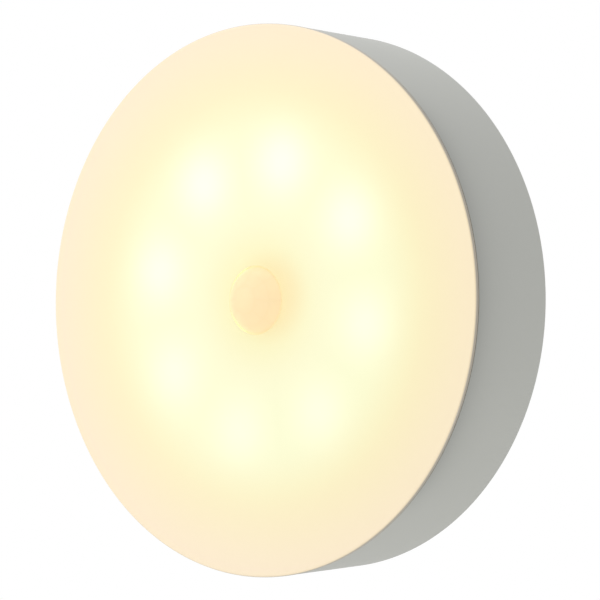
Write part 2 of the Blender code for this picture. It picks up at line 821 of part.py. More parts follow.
def make_board():
    """The white circuit board, with its holes."""
    board = cylinder(
        "led_board", BOARD_RADIUS, BOARD_BACK, BOARD_FRONT, finish="board_white", steps=BODY_STEPS
    )
    holes = [(*on_ring(BOSS_RING, a), SCREW_RADIUS + SCREW_HOLE_GAP) for a in BOSS_ANGLES]
    holes += [(x, y, PEG_RADIUS + PIN_HOLE_GAP) for x, y in peg_places()]
    for angle in SENSOR_PIN_ANGLES:
        holes.append((*on_ring(SENSOR_PIN_RING, angle), SENSOR_PIN_RADIUS + PIN_HOLE_GAP))
    holes += [(x, y, SWITCH_PIN_RADIUS + PIN_HOLE_GAP) for x, y in switch_pin_places()]
    for number, (x, y, radius) in enumerate(holes, 1):
        low, high = BOARD_BACK - OVERRUN, BOARD_FRONT + OVERRUN
        cut(board, cylinder(f"board_hole_{number}", radius, low, high, x, y, steps=TINY_STEPS))


def make_screws():
    """Pan-head screws through the board into the bosses, with a cross recess."""
    head_back = BOARD_FRONT + FILM_GAP
    head_front = head_back + SCREW_HEAD_HEIGHT
    tip = head_back - SCREW_LENGTH
    shoulder = head_back + SCREW_HEAD_HEIGHT / 2
    slot_length = SCREW_HEAD_RADIUS * SCREW_SLOT_SHARE
    for number, angle in enumerate(BOSS_ANGLES, 1):
        x, y = on_ring(BOSS_RING, angle)
        outline = [
            (0, head_front),
            (SCREW_HEAD_RADIUS * math.cos(math.radians(45)), head_front),
            (SCREW_HEAD_RADIUS, shoulder),
            (SCREW_HEAD_RADIUS, head_back),
            (SCREW_RADIUS, head_back),
            (SCREW_RADIUS, tip + SCREW_RADIUS),
            (0, tip),
        ]
        screw = turned(
            f"board_screw_{number}", outline, closed=False, finish="steel", steps=TINY_STEPS, x=x, y=y
        )
        for turn in (0, math.radians(90)):
            size = (slot_length, SCREW_SLOT, 2 * SCREW_SLOT_DEPTH)
            cut(screw, box(f"screw_slot_{number}", size, (x, y, head_front), turn=turn))


def make_leds():
    """Eight surface-mounted LEDs, each a white cup with a yellow phosphor fill."""
    cup_front = MOUNTED_FRONT + LED_HEIGHT
    cup_back = cup_front - LED_CUP_DEPTH
    for number in range(LED_COUNT):
        angle = LED_START_ANGLE + number * 2 * math.pi / LED_COUNT
        x, y = on_ring(LED_RING_DIAMETER / 2, angle)
        package = box(
            f"led_package_{number + 1}",
            (LED_WIDTH, LED_LENGTH, LED_HEIGHT),
            (x, y, MOUNTED_FRONT + LED_HEIGHT / 2),
            "led_package",
            turn=angle,
        )
        well = box(
            f"led_well_{number + 1}",
            (LED_WIDTH - 2 * LED_RIM, LED_LENGTH - 2 * LED_RIM, 2 * LED_CUP_DEPTH),
            (x, y, cup_front),
            turn=angle,
        )
        cut(package, well)
        fill = LED_CUP_DEPTH - FILM_GAP
        box(
            f"led_phosphor_{number + 1}",
            (LED_WIDTH - 2 * LED_RIM - FILM_GAP, LED_LENGTH - 2 * LED_RIM - FILM_GAP, fill),
            (x, y, cup_back + FILM_GAP + fill / 2),
            "led_phosphor",
            turn=angle,
        )


def make_daylight_sensor():
    """The small light sensor that keeps the lamp off by day, between the tube and the LEDs."""
    _, _, foot = shroud_radii()
    x, y = on_ring((foot + LED_RING_DIAMETER / 2) / 2, DAYLIGHT_ANGLE)
    body = box(
        "daylight_sensor",
        (DAYLIGHT_LENGTH, DAYLIGHT_WIDTH, DAYLIGHT_HEIGHT),
        (x, y, MOUNTED_FRONT + DAYLIGHT_HEIGHT / 2),
        "sensor_window",
    )
    bm = bmesh.new()
    bmesh.ops.create_uvsphere(
        bm, u_segments=TINY_STEPS, v_segments=TINY_STEPS // 2, radius=DAYLIGHT_BULB_RADIUS
    )
    add(body, put("daylight_bulb", bm, (x, y, MOUNTED_FRONT + DAYLIGHT_HEIGHT), None))


def make_magnet():
    """The disc magnet in the back face's pocket, flush with the back face."""
    outline = [
        (0, MAGNET_THICKNESS),
        (MAGNET_RADIUS - MAGNET_CHAMFER, MAGNET_THICKNESS),
        (MAGNET_RADIUS, MAGNET_THICKNESS - MAGNET_CHAMFER),
        (MAGNET_RADIUS, MAGNET_CHAMFER),
        (MAGNET_RADIUS - MAGNET_CHAMFER, 0),
        (0, 0),
    ]
    turned("magnet_disc", outline, closed=False, finish="magnet_nickel", steps=2 * SMALL_STEPS)


def make_battery():
    """A pouch cell taped over the magnet's boss, with its guard board on the terrace."""
    middle_z = (CELL_BACK + CELL_FRONT) / 2
    cell_x = CELL_LENGTH / 2 - BATTERY_END
    cell_size = (CELL_LENGTH, CELL_WIDTH, CELL_THICKNESS)
    cell = box("battery_cell", cell_size, (cell_x, CELL_Y, middle_z), "cell_foil")
    soften(cell, CELL_ROUND)
    terrace_low = CELL_LENGTH - BATTERY_END - FUSE
    terrace_half = CELL_WIDTH * TERRACE_WIDTH_SHARE / 2
    terrace = block(
        "terrace",
        (terrace_low, CELL_Y - terrace_half, middle_z - TERRACE_THICKNESS),
        (BATTERY_END, CELL_Y + terrace_half, middle_z),
    )
    add(cell, terrace)
    guard_width = CELL_WIDTH * GUARD_BOARD_WIDTH_SHARE
    guard_low = BATTERY_END - GUARD_BOARD_DEPTH
    guard_z = middle_z + FILM_GAP
    block(
        "battery_guard_board",
        (guard_low, CELL_Y - guard_width / 2, guard_z),
        (BATTERY_END, CELL_Y + guard_width / 2, guard_z + GUARD_BOARD_THICKNESS),
        "guard_board",
    )
    block(
        "battery_tape",
        (-TAPE_WIDTH / 2, -TAPE_WIDTH / 2, BOSS_CAP + FILM_GAP),
        (TAPE_WIDTH / 2, TAPE_WIDTH / 2, BOSS_CAP + FILM_GAP + TAPE),
        "foam_tape",
    )
    return guard_z + GUARD_BOARD_THICKNESS / 2


def smooth_route(points, count):
    """Points along a smooth curve through a few route points."""
    ends = [2 * points[0] - points[1], *points, 2 * points[-1] - points[-2]]
    spans = len(points) - 1
    route = []
    for step in range(count):
        along = step * spans / (count - 1)
        span = min(int(along), spans - 1)
        t = along - span
        a, b, c, d = ends[span : span + 4]
        route.append(
            0.5 * (2 * b + (c - a) * t + (2 * a - 5 * b + 4 * c - d) * t**2 + (3 * b - a - 3 * c + d) * t**3)
        )
    return route


def make_lead(name, points, finish):
    """A round insulated lead along a smooth route."""
    curve = bpy.data.curves.new(name, "CURVE")
    curve.dimensions = "3D"
    curve.bevel_depth = LEAD_RADIUS
    curve.bevel_resolution = 2
    curve.use_fill_caps = True
    spline = curve.splines.new("POLY")
    route = smooth_route(points, LEAD_POINTS)
    spline.points.add(len(route) - 1)
    for point, place in zip(spline.points, route):
        point.co = (*place, 1)
    curve.materials.append(finish_material(finish))
    lead = bpy.data.objects.new(name, curve)
    lead.parent = LAMP
    PARTS.objects.link(lead)


def make_battery_plug(guard_z):
    """The plug on the battery's two leads, in its socket under the board."""
    x = BATTERY_END + LEAD_REACH + PLUG_LENGTH / 2
    y = CELL_Y + PLUG_OFFSET
    case_front = MOUNTED_BACK
    plug_front = case_front - PLUG_CASE - SEAT_GAP
    plug_back = plug_front - PLUG_HEIGHT
    case_back = plug_back - SEAT_GAP - PLUG_CASE
    half = PLUG_WIDTH / 2 + SEAT_GAP
    case = block(
        "battery_socket",
        (x - PLUG_LENGTH / 2 + PLUG_MOUTH, y - half - PLUG_CASE, case_back),
        (x + PLUG_LENGTH / 2 + SEAT_GAP + PLUG_CASE, y + half + PLUG_CASE, case_front),
        "white_plastic",
    )
    chamber = block(
        "plug_chamber",
        (x - PLUG_LENGTH, y - half, plug_back - SEAT_GAP),
        (x + PLUG_LENGTH / 2 + SEAT_GAP, y + half, plug_front + SEAT_GAP),
    )
    cut(case, chamber)
    plug = block(
        "battery_plug",
        (x - PLUG_LENGTH / 2, y - PLUG_WIDTH / 2, plug_back),
        (x + PLUG_LENGTH / 2, y + PLUG_WIDTH / 2, plug_front),
        "white_plastic",
    )
    key = block(
        "plug_key",
        (x - PLUG_LENGTH, y - PLUG_CASE, plug_back - OVERRUN),
        (x + PLUG_LENGTH / 4, y + PLUG_CASE, plug_back + PLUG_CASE),
    )
    cut(plug, key)
    plug_z = (plug_front + plug_back) / 2
    start_x = BATTERY_END + FILM_GAP
    end_x = x - PLUG_LENGTH / 2 - FILM_GAP
    for name, side in (("battery_lead_red", 1), ("battery_lead_black", -1)):
        offset = side * LEAD_PITCH / 2
        start = Vector((start_x, CELL_Y + offset, guard_z))
        end = Vector((end_x, y + offset, plug_z))
        run = end_x - start_x
        route = [
            start,
            start + Vector((run * LEAD_SAG_SHARE, 0, 0)),
            end - Vector((run * LEAD_SAG_SHARE, 0, 0)),
            end,
        ]
        make_lead(name, route, "lead_red" if side > 0 else "lead_black")


def make_switch():
    """The three-position slide switch under the board: cover, base with pins, slider and wiper."""
    cover_back = MOUNTED_BACK - SWITCH_HEIGHT
    half_l, half_w = SWITCH_LENGTH / 2, SWITCH_WIDTH / 2
    cover = block(
        "switch_cover",
        (-half_l, SWITCH_Y - half_w, cover_back),
        (half_l, SWITCH_Y + half_w, MOUNTED_BACK - FILM_GAP),
        "steel",
    )
    room = block(
        "cover_room",
        (-half_l + SWITCH_SHEET, SWITCH_Y - half_w + SWITCH_SHEET, cover_back + SWITCH_SHEET),
        (half_l - SWITCH_SHEET, SWITCH_Y + half_w - SWITCH_SHEET, MOUNTED_BACK + OVERRUN),
    )
    stem_slot = box(
        "stem_slot",
        (SWITCH_TRAVEL + STEM_SIDE + 2 * SLIDE_GAP, STEM_SIDE + 2 * SLIDE_GAP, 2 * SWITCH_SHEET + OVERRUN),
        (0, SWITCH_Y, cover_back),
    )
    cut(cover, room, stem_slot)
    base_back = MOUNTED_BACK - SWITCH_BASE
    inset = SWITCH_SHEET + FILM_GAP
    base = block(
        "switch_base",
        (-half_l + inset, SWITCH_Y - half_w + inset, base_back),
        (half_l - inset, SWITCH_Y + half_w - inset, MOUNTED_BACK),
        "chip_black",
    )
    for number, (x, y) in enumerate(switch_pin_places(), 1):
        pin = cylinder(
            f"switch_pin_{number}",
            SWITCH_PIN_RADIUS,
            base_back + SWITCH_BASE / 2,
            BOARD_FRONT + PIN_STICK_OUT,
            x,
            y,
            steps=TINY_STEPS,
        )
        add(base, pin)
    slider_back = cover_back + SWITCH_SHEET + SEAT_GAP
    slider_front = slider_back + SLIDER_THICKNESS
    slider_half_w = half_w - SWITCH_SHEET - SLIDE_GAP
    slider = block(
        "switch_slider",
        (SLIDER_REST_X - SLIDER_LENGTH / 2, SWITCH_Y - slider_half_w, slider_back),
        (SLIDER_REST_X + SLIDER_LENGTH / 2, SWITCH_Y + slider_half_w, slider_front),
        "chip_black",
    )
    stem = block(
        "stem",
        (SLIDER_REST_X - STEM_SIDE / 2, SWITCH_Y - STEM_SIDE / 2, knob_levels()[1] + SEAT_GAP),
        (SLIDER_REST_X + STEM_SIDE / 2, SWITCH_Y + STEM_SIDE / 2, slider_back + FUSE),
    )
    add(slider, stem)
    make_wiper(slider_front + FILM_GAP, base_back - FILM_GAP)


def make_wiper(low, high):
    """The bent contact strip between slider and base, carried along by the slider."""
    length = SLIDER_LENGTH * WIPER_LENGTH_SHARE
    crest = high - WIPER_STRIP
    upper = [
        (-length / 2, low),
        (-length / 4, crest),
        (0, low),
        (length / 4, crest),
        (length / 2, low),
    ]
    outline = upper + [(px, pz + WIPER_STRIP) for px, pz in reversed(upper)]
    place = (SLIDER_REST_X, SWITCH_Y, 0)
    prism("switch_wiper", outline, -WIPER_WIDTH / 2, WIPER_WIDTH / 2, "y", place, "steel")


def knob_levels():
    """Heights of the knob: finger face, floor of the stem's pocket, apron back and front, collar top."""
    apron_back = PAD_TOP + SLIDE_GAP
    apron_front = apron_back + APRON_THICKNESS
    collar_top = MOUNTED_BACK - SWITCH_HEIGHT - 2 * SLIDE_GAP
    return KNOB_SUNK, apron_back, apron_front, collar_top


def make_knob():
    """The knob that the finger moves: ribbed nose, apron that covers the slot, collar round the stem."""
    nose, apron_back, apron_front, collar_top = knob_levels()
    knob = block(
        "switch_knob",
        (-KNOB_LENGTH / 2, -KNOB_WIDTH / 2, nose),
        (KNOB_LENGTH / 2, KNOB_WIDTH / 2, apron_front),
        "white_plastic",
    )
    for vertex in knob.data.vertices:
        vertex.co += knob.location
    knob.location = (SLIDER_REST_X, SWITCH_Y, 0)
    apron = block(
        "knob_apron",
        (SLIDER_REST_X - APRON_LENGTH / 2, SWITCH_Y - APRON_WIDTH / 2, apron_back),
        (SLIDER_REST_X + APRON_LENGTH / 2, SWITCH_Y + APRON_WIDTH / 2, apron_front),
    )
    pocket_half = STEM_SIDE / 2 + FILM_GAP
    collar_half = pocket_half + COLLAR_WALL
    collar = block(
        "knob_collar",
        (SLIDER_REST_X - collar_half, SWITCH_Y - collar_half, apron_back + APRON_THICKNESS / 2),
        (SLIDER_REST_X + collar_half, SWITCH_Y + collar_half, collar_top),
    )
    pocket = block(
        "knob_pocket",
        (SLIDER_REST_X - pocket_half, SWITCH_Y - pocket_half, apron_back),
        (SLIDER_REST_X + pocket_half, SWITCH_Y + pocket_half, collar_top + OVERRUN),
    )
    add(knob, apron, collar)
    cut(knob, pocket)
    pitch = KNOB_LENGTH / KNOB_GRIP_COUNT
    for number in range(KNOB_GRIP_COUNT):
        x = SLIDER_REST_X + (number - (KNOB_GRIP_COUNT - 1) / 2) * pitch
        size = (KNOB_GRIP, KNOB_WIDTH + OVERRUN, 2 * KNOB_GRIP_DEPTH)
        cut(knob, box(f"knob_grip_{number + 1}", size, (x, SWITCH_Y, nose)))


def make_charging_socket():
    """The charging socket: a folded metal shell with two feet, and the tongue block inside it."""
    mouth = -outer_radius(MOUNTED_BACK) + SOCKET_SUNK
    rear = mouth + SOCKET_LENGTH
    shell = socket_prism("charging_socket_shell", SOCKET_WIDTH, SOCKET_HEIGHT, mouth, rear, "steel")
    for number, side in enumerate((-1, 1), 1):
        near = side * (SOCKET_WIDTH / 2 - FUSE / 2)
        far = side * (SOCKET_WIDTH / 2 + SOCKET_FOOT)
        foot = block(
            f"socket_foot_{number}",
            (rear - SOCKET_LENGTH / 2, min(near, far), MOUNTED_BACK - SOCKET_SHEET),
            (rear - SOCKET_LENGTH / 4, max(near, far), MOUNTED_BACK),
        )
        add(shell, foot)
    inner_width = SOCKET_WIDTH - 2 * SOCKET_SHEET
    inner_height = SOCKET_HEIGHT - 2 * SOCKET_SHEET
    cut(shell, socket_prism("socket_room", inner_width, inner_height, mouth - OVERRUN, rear + OVERRUN))
    block_low = rear - TONGUE_BLOCK
    tongue = socket_prism(
        "charging_socket_tongue",
        inner_width - 2 * FILM_GAP,
        inner_height - 2 * FILM_GAP,
        block_low,
        rear,
        "chip_black",
    )
    middle_z = MOUNTED_BACK - SOCKET_HEIGHT / 2
    blade = block(
        "tongue_blade",
        (block_low - TONGUE_LENGTH, -TONGUE_WIDTH / 2, middle_z - TONGUE_THICKNESS / 2),
        (block_low + TONGUE_BLOCK / 2, TONGUE_WIDTH / 2, middle_z + TONGUE_THICKNESS / 2),
    )
    add(tongue, blade)


def leg_profile(knee):
    """Outline of a gull-wing leg: out of the chip's side at the knee, then down to a foot on the board."""
    root = CHIP_WIDTH / 2 - FUSE
    bend = CHIP_WIDTH / 2 + CHIP_LEG_REACH / 2
    tip = CHIP_WIDTH / 2 + CHIP_LEG_REACH
    half = CHIP_LEG_SHEET / 2
    return [
        (root, knee - half),
        (bend, knee - half),
        (bend + half, MOUNTED_BACK - CHIP_LEG_SHEET),
        (tip, MOUNTED_BACK - CHIP_LEG_SHEET),
        (tip, MOUNTED_BACK),
        (bend - half, MOUNTED_BACK),
        (bend - CHIP_LEG_SHEET, knee + half),
        (root, knee + half),
    ]


def make_chip(name, shares, rows, length):
    """A moulded chip under the board with gull-wing legs along both long sides."""
    x, y = (share * BOARD_RADIUS for share in shares)
    front = MOUNTED_BACK - CHIP_LIFT
    chip = block(
        name,
        (x - length / 2, y - CHIP_WIDTH / 2, front - CHIP_HEIGHT),
        (x + length / 2, y + CHIP_WIDTH / 2, front),
        "chip_black",
    )
    soften(chip, CHIP_ROUND, 1)
    knee = front - CHIP_HEIGHT / 2
    for row in range(rows):
        leg_x = x + (row - (rows - 1) / 2) * CHIP_LEG_PITCH
        for side in (-1, 1):
            profile = [(y + side * out, height) for out, height in leg_profile(knee)]
            leg = prism(f"{name}_leg", profile, -CHIP_LEG / 2, CHIP_LEG / 2, "x", (leg_x, 0, 0))
            add(chip, leg)


def make_transistor():
    """The small transistor that switches the LEDs, with one leg on one side and two on the other."""
    x, y = (share * BOARD_RADIUS for share in TRANSISTOR_SHARE)
    body = block(
        "led_transistor",
        (x - TRANSISTOR_LENGTH / 2, y - TRANSISTOR_WIDTH / 2, MOUNTED_BACK - CHIP_LIFT - TRANSISTOR_HEIGHT),
        (x + TRANSISTOR_LENGTH / 2, y + TRANSISTOR_WIDTH / 2, MOUNTED_BACK - CHIP_LIFT / 2),
        "chip_black",
    )
    spread = TRANSISTOR_LENGTH / 3
    for leg_x, side in ((-spread, 1), (spread, 1), (0, -1)):
        root = y + side * (TRANSISTOR_WIDTH / 2 - FUSE)
        tip = y + side * (TRANSISTOR_WIDTH / 2 + CHIP_LEG)
        leg = block(
            "transistor_leg",
            (x + leg_x - CHIP_LEG / 2, min(root, tip), MOUNTED_BACK - CHIP_LIFT),
            (x + leg_x + CHIP_LEG / 2, max(root, tip), MOUNTED_BACK),
        )
        add(body, leg)


def make_capacitor():
    """The can capacitor under the board, on its square plastic base."""
    x, y = (share * BOARD_RADIUS for share in CAPACITOR_SHARE)
    base_back = MOUNTED_BACK - CAPACITOR_BASE
    block(
        "capacitor_base",
        (x - CAPACITOR_BASE_SIDE / 2, y - CAPACITOR_BASE_SIDE / 2, base_back),
        (x + CAPACITOR_BASE_SIDE / 2, y + CAPACITOR_BASE_SIDE / 2, MOUNTED_BACK),
        "chip_black",
    )
    front = base_back - FILM_GAP
    back = front - CAPACITOR_HEIGHT
    waist = front - CAPACITOR_HEIGHT / 4
    outline = [
        (0, front),
        (CAPACITOR_RADIUS, front),
        (CAPACITOR_RADIUS, waist + CAPACITOR_CRIMP),
        (CAPACITOR_RADIUS - CAPACITOR_CRIMP, waist),
        (CAPACITOR_RADIUS, waist - CAPACITOR_CRIMP),
        (CAPACITOR_RADIUS, back + CAPACITOR_CRIMP),
        (CAPACITOR_RADIUS - CAPACITOR_CRIMP, back),
        (0, back),
    ]
    turned("capacitor_can", outline, closed=False, finish="steel", steps=SMALL_STEPS, x=x, y=y)


def make_resistors():
    """Chip resistors on the board's front, one between every second pair of LEDs."""
    step = 2 * math.pi / RESISTOR_COUNT
    first = LED_START_ANGLE + math.pi / LED_COUNT
    for number in range(RESISTOR_COUNT):
        angle = first + number * step
        x, y = on_ring(BOARD_RADIUS * RESISTOR_RING_SHARE, angle)
        middle = MOUNTED_FRONT + RESISTOR_CAP_PROUD + RESISTOR_HEIGHT / 2
        resistor = box(
            f"chip_resistor_{number + 1}",
            (RESISTOR_WIDTH, RESISTOR_LENGTH, RESISTOR_HEIGHT),
            (x, y, middle),
            "ceramic",
            turn=angle,
        )
        cap = RESISTOR_LENGTH * RESISTOR_CAP_SHARE
        proud = 2 * RESISTOR_CAP_PROUD
        for side in (-1, 1):
            shift = side * (RESISTOR_LENGTH - cap) / 2 + side * RESISTOR_CAP_PROUD
            cap_x = x - shift * math.sin(angle)
            cap_y = y + shift * math.cos(angle)
            size = (RESISTOR_WIDTH + proud, cap, RESISTOR_HEIGHT + proud)
            add(resistor, box("resistor_cap", size, (cap_x, cap_y, middle), turn=angle))


def settle_meshes():
    """Turns each piece's modifiers into its mesh and shades its round faces smooth."""
    bpy.context.view_layer.update()
    graph = bpy.context.evaluated_depsgraph_get()
    pieces = [obj for obj in PARTS.objects if obj.type == "MESH"]
    settled = [(obj, bpy.data.meshes.new_from_object(obj.evaluated_get(graph))) for obj in pieces]
    for obj, mesh in settled:
        obj.modifiers.clear()
        obj.data = mesh
        mesh.shade_smooth()
        mesh.set_sharp_from_angle(angle=SHARP_ANGLE)


def build_lamp():
    """Makes every piece of the lamp."""
    make_housing()
    make_magnet()
    make_battery_plug(make_battery())
    make_board()
    make_screws()
    make_leds()
    make_resistors()
    make_daylight_sensor()
    make_chip("control_chip", CONTROL_CHIP_SHARE, 4, CHIP_LENGTH)
    make_chip("charge_chip", CHARGE_CHIP_SHARE, 4, CHIP_LENGTH)
    make_transistor()
    make_capacitor()
    make_charging_socket()
    make_switch()
    make_knob()
    make_sensor()
    make_shroud()
    make_lens()
    make_diffuser()
    settle_meshes()


build_lamp()
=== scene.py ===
"""Looks of a round night light: finishes, finely turned pieces, camera and studio light.

Distances are in metres. +X is right for a person who faces the lamp, -Y is out of its face
and +Z is up.
"""

import json
import math

import bmesh
import bpy
from bpy.props import FloatProperty, FloatVectorProperty, PointerProperty
from mathutils import Matrix, Vector

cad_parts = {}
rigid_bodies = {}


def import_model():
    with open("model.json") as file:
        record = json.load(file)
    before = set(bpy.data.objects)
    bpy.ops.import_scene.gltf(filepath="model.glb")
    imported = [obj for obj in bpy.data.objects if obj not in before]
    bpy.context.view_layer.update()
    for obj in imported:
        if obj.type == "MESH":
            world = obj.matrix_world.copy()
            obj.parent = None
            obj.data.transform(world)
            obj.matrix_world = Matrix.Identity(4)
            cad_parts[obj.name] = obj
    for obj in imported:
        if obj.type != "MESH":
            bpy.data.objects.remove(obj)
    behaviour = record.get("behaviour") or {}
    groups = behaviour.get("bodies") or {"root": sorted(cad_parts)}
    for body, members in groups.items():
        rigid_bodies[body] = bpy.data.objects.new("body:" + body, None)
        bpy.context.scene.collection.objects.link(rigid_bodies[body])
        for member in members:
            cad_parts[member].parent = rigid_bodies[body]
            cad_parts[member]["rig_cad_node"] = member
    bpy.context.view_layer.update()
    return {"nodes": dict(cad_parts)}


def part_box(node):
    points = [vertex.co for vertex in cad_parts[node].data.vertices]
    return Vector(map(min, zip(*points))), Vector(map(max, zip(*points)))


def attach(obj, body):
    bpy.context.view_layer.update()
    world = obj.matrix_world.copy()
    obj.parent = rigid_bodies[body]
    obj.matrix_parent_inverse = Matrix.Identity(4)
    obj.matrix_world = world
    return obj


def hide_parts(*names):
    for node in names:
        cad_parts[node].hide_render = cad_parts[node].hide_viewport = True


bl_info = {
    "name": "Round Night Light",
    "version": (1, 0, 0),
    "blender": (4, 5, 0),
    "location": "View3D > Sidebar > Night Light",
    "description": "Builds the looks of a round night light with a glowing opal face",
    "category": "Object",
}

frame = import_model()
NODES = frame["nodes"]

MM = 0.001

# Places read from the solids. A height goes from the back face towards the room, so it is -Y.
FACE_LOW, FACE_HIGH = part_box("front_diffuser")
CUP_LOW, CUP_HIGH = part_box("rear_housing")
DOME_LOW, DOME_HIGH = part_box("sensor_lens")
MAGNET_LOW, MAGNET_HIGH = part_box("magnet_disc")
LED_LOW, LED_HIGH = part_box("led_phosphor_1")
FACE_RADIUS = FACE_HIGH.x
CROWN_TOP = -FACE_LOW.y
CUP_RADIUS = CUP_HIGH.x
CUP_TOP = -CUP_LOW.y
DOME_TOP = -DOME_LOW.y
DOME_FOOT = -DOME_HIGH.y
FLANGE_RADIUS = DOME_HIGH.x
LED_MIDDLE = (LED_LOW + LED_HIGH) / 2
LED_RING = math.hypot(LED_MIDDLE.x, LED_MIDDLE.z)
LED_START = math.atan2(LED_MIDDLE.z, LED_MIDDLE.x)
LED_STEP = 2 * math.pi / sum(name.startswith("led_phosphor") for name in NODES)

# Sizes of the solids that their boxes don't give
CROWN = 0.2 * MM
LIP = 0.6 * MM
FLANGE = 0.8 * MM
MAGNET_EDGE = 0.3 * MM
RIM_PLANE = CROWN_TOP - CROWN
LIP_BACK = RIM_PLANE - LIP

# Meshes: what counts as one point, one ring, a flat, a sharp edge and a chord of a ring
WELD = 1e-7
SAME_RING = 2e-6
FLAT_ANGLE = math.radians(0.3)
SQUARE_ANGLE = math.radians(50)
SHARP_ANGLE = math.radians(35)
DOME_SHARP_ANGLE = math.radians(12)
LONGEST_CHORD = math.radians(5.5)
# Meshes: how finely they are cut
RING_CUTS = 3
EDGE_SEGMENTS = 3
SMALL_STEPS = 96
DOME_POINTS = 24
MAGNET_EDGE_POINTS = 5
# The housing's edges that are rounded: those of the back this far in from its outline, and
# those of the port and the wall's free end this close to the outline and this high
BACK_MARGIN = 2 * MM
WALL_MARGIN = 1.1 * MM
WALL_START = 1 * MM
# The knob's edges that show, down to its apron, and their rounding
KNOB_DEPTH = 2 * MM
KNOB_EDGE = 0.08 * MM
# The charging socket: the rounding of its mouth, its contacts, how far in from the tongue's end
# they begin, and half the thickness of the tongue's blade
SHELL_EDGE = 0.1 * MM
CONTACT_COUNT = 5
CONTACT_PITCH = 0.65 * MM
CONTACT_WIDTH = 0.4 * MM
CONTACT_REACH = 2.8 * MM
CONTACT_THICKNESS = 0.06 * MM
CONTACT_START = 0.4 * MM
TONGUE_HALF = 0.35 * MM

# A Mix node's colour sockets share their names with others, so they go by number
MIX_A, MIX_B, MIX_RESULT = 6, 7, 2

# What the room gives the face, as a share of its colour, and what its gloss adds
ROOM_LIGHT = 1.0
GLOSS_LIGHT = 0.052
# What a spot over an LED adds, how much more the upper ones do, and how the whole glow leans
SPOT_GAIN = Vector((0.09, 0.11, 0.145))
SPOT_LEAN = 0.35
GLOW_LEAN = Vector((-0.055, 0, 0.035))
# What the light loses at the right rim
WARM_SIDE = Vector((0, 0, 0.03))
# The LEDs shine from behind the face, so their pattern's middle lies a little off the face's own
GLOW_MIDDLE = Vector((0.92, 0, 0.31)) * MM
# Shares of the face's radius at which the glow's six colours stand
GLOW_STOPS = (0.125, 0.27, 0.44, 0.60, 0.75, 0.97)
# What the sensor's tube, behind the face, keeps off it
TUBE_SHADE = Vector((0, 0.083, 0.073))
TUBE_SHADE_MIDDLE = Vector((3.0, 0, 0.6)) * MM
TUBE_SHADE_FULL = 3 * MM
TUBE_SHADE_END = 8 * MM
# The face's front ends where its lip begins: first from the edge inwards, then down from the rim
LIP_START = 2 * MM
LIP_FULL = 1.7 * MM
LIP_SIDE_START = 0.02 * MM
LIP_SIDE_FULL = 0.25 * MM
# It also ends at the dome's hole: how far below the crown the hole's wall begins, and its glow
BORE_START = 0.01 * MM
BORE_FULL = 0.06 * MM
BORE_GLOW = 0.38
# The dome: how clear it is, how little it mirrors, how high its foot's painted glow reaches, and
# where its -X side's painted shade lies
DOME_CLEARNESS = 0.38
DOME_GLOSS = 0.03
DOME_FOOT_REACH = 1 * MM
DOME_SIDE_START = 2.5 * MM
DOME_SIDE_FULL = 5 * MM
# The facets inside the dome: how many round and from pole to pole, the line between two, and
# how much painted shade darkens the dome's glow along it
FACETS_ROUND = 8
FACETS_HIGH = 8
FACET_EDGE = math.radians(3)
FACET_SHADE = 0.045
# What part of the glow comes out under the lip, and how near to the lip's back it begins
SEAM_LEAK = 0.45
SEAM_START = 0.03 * MM
SEAM_FULL = 0.01 * MM
# How much painted shade darkens the wall beside the joint, how far that reaches, and on which
# share of the radius towards +X it begins and is full
JOINT_SHADE = 0.26
JOINT_SHADE_REACH = 2.8 * MM
JOINT_SHADE_START = 0.6
JOINT_SHADE_FULL = 0.85

# The noise that mottles a finish: its octaves, and how much of each octave the next one keeps
NOISE_DETAIL = 3
NOISE_ROUGHNESS = 0.6
# How far each way a finish's two shades stand from its colour
WALL_CLOUD = 0.015
OPAL_CLOUD = 0.01
DOME_CLOUD = 0.02
FLOOR_CLOUD = 0.01
# How the pull of a die stretches the grain of sheet steel: drawn out along Y
STEEL_STREAKS = (1, 0.15, 1)
# How much each finish bends light
PLAIN_IOR = 1.5
ABS_IOR = 1.53
ACRYLIC_IOR = 1.49
POLYETHYLENE_IOR = 1.51
EPOXY_IOR = 1.55
ACETAL_IOR = 1.48
PVC_IOR = 1.53
NYLON_IOR = 1.53
CERAMIC_IOR = 1.6
DARK_FILTER_IOR = 2.0
# How brightly the phosphor of an LED shines
PHOSPHOR_GLOW = 4

# The studio's light from level and from above
SIDE_LIGHT = 0.67
OVERHEAD_LIGHT = 1.57
# Its floor, a disc this far below the lamp's middle
FLOOR_DROP = 0.2
FLOOR_RADIUS = 1.2
# Soft boxes: name, place, width, height and power in watts. The low one stands at the lower
# right behind the lamp, above the floor, and lights the wall from below.
SOFT_BOXES = (
    ("top_box", (-0.45, 0.15, 1.05), 0.7, 0.7, 3.0),
    ("low_box", (0.21, 0.03, -0.16), 0.08, 0.08, 0.115),
    ("window_box", (-0.51, -0.86, 0.09), 0.55, 1.5, 2.6),
)

# The photograph's camera, from a fit to the face's and the back's outlines
PHOTO_SIDE = 600
SENSOR_SIDE = 36
FOCAL_PIXELS = 4152
FACE_CENTRE_PIXEL = (256.4, 300.2)
CAMERA_AZIMUTH = math.radians(40.62)
CAMERA_ROLL = math.radians(1.10)
CLIP_START = 10 * MM


def linear(hex_colour):
    """An sRGB colour such as "A7A8A3" as linear red, green and blue."""
    shares = [int(hex_colour[i : i + 2], 16) / 255 for i in (0, 2, 4)]
    return tuple(c / 12.92 if c <= 0.04045 else ((c + 0.055) / 1.055) ** 2.4 for c in shares)


def length(name, description, default):
    """A size that the user may change, shown in the scene's unit of length."""
    return FloatProperty(
        name=name, description=description, default=default, min=0, precision=5, unit="LENGTH"
    )


def colour(name, description, hex_colour):
    """A colour that the user may change."""
    return FloatVectorProperty(
        name=name,
        description=description,
        default=linear(hex_colour),
        min=0,
        max=1,
        subtype="COLOR",
    )


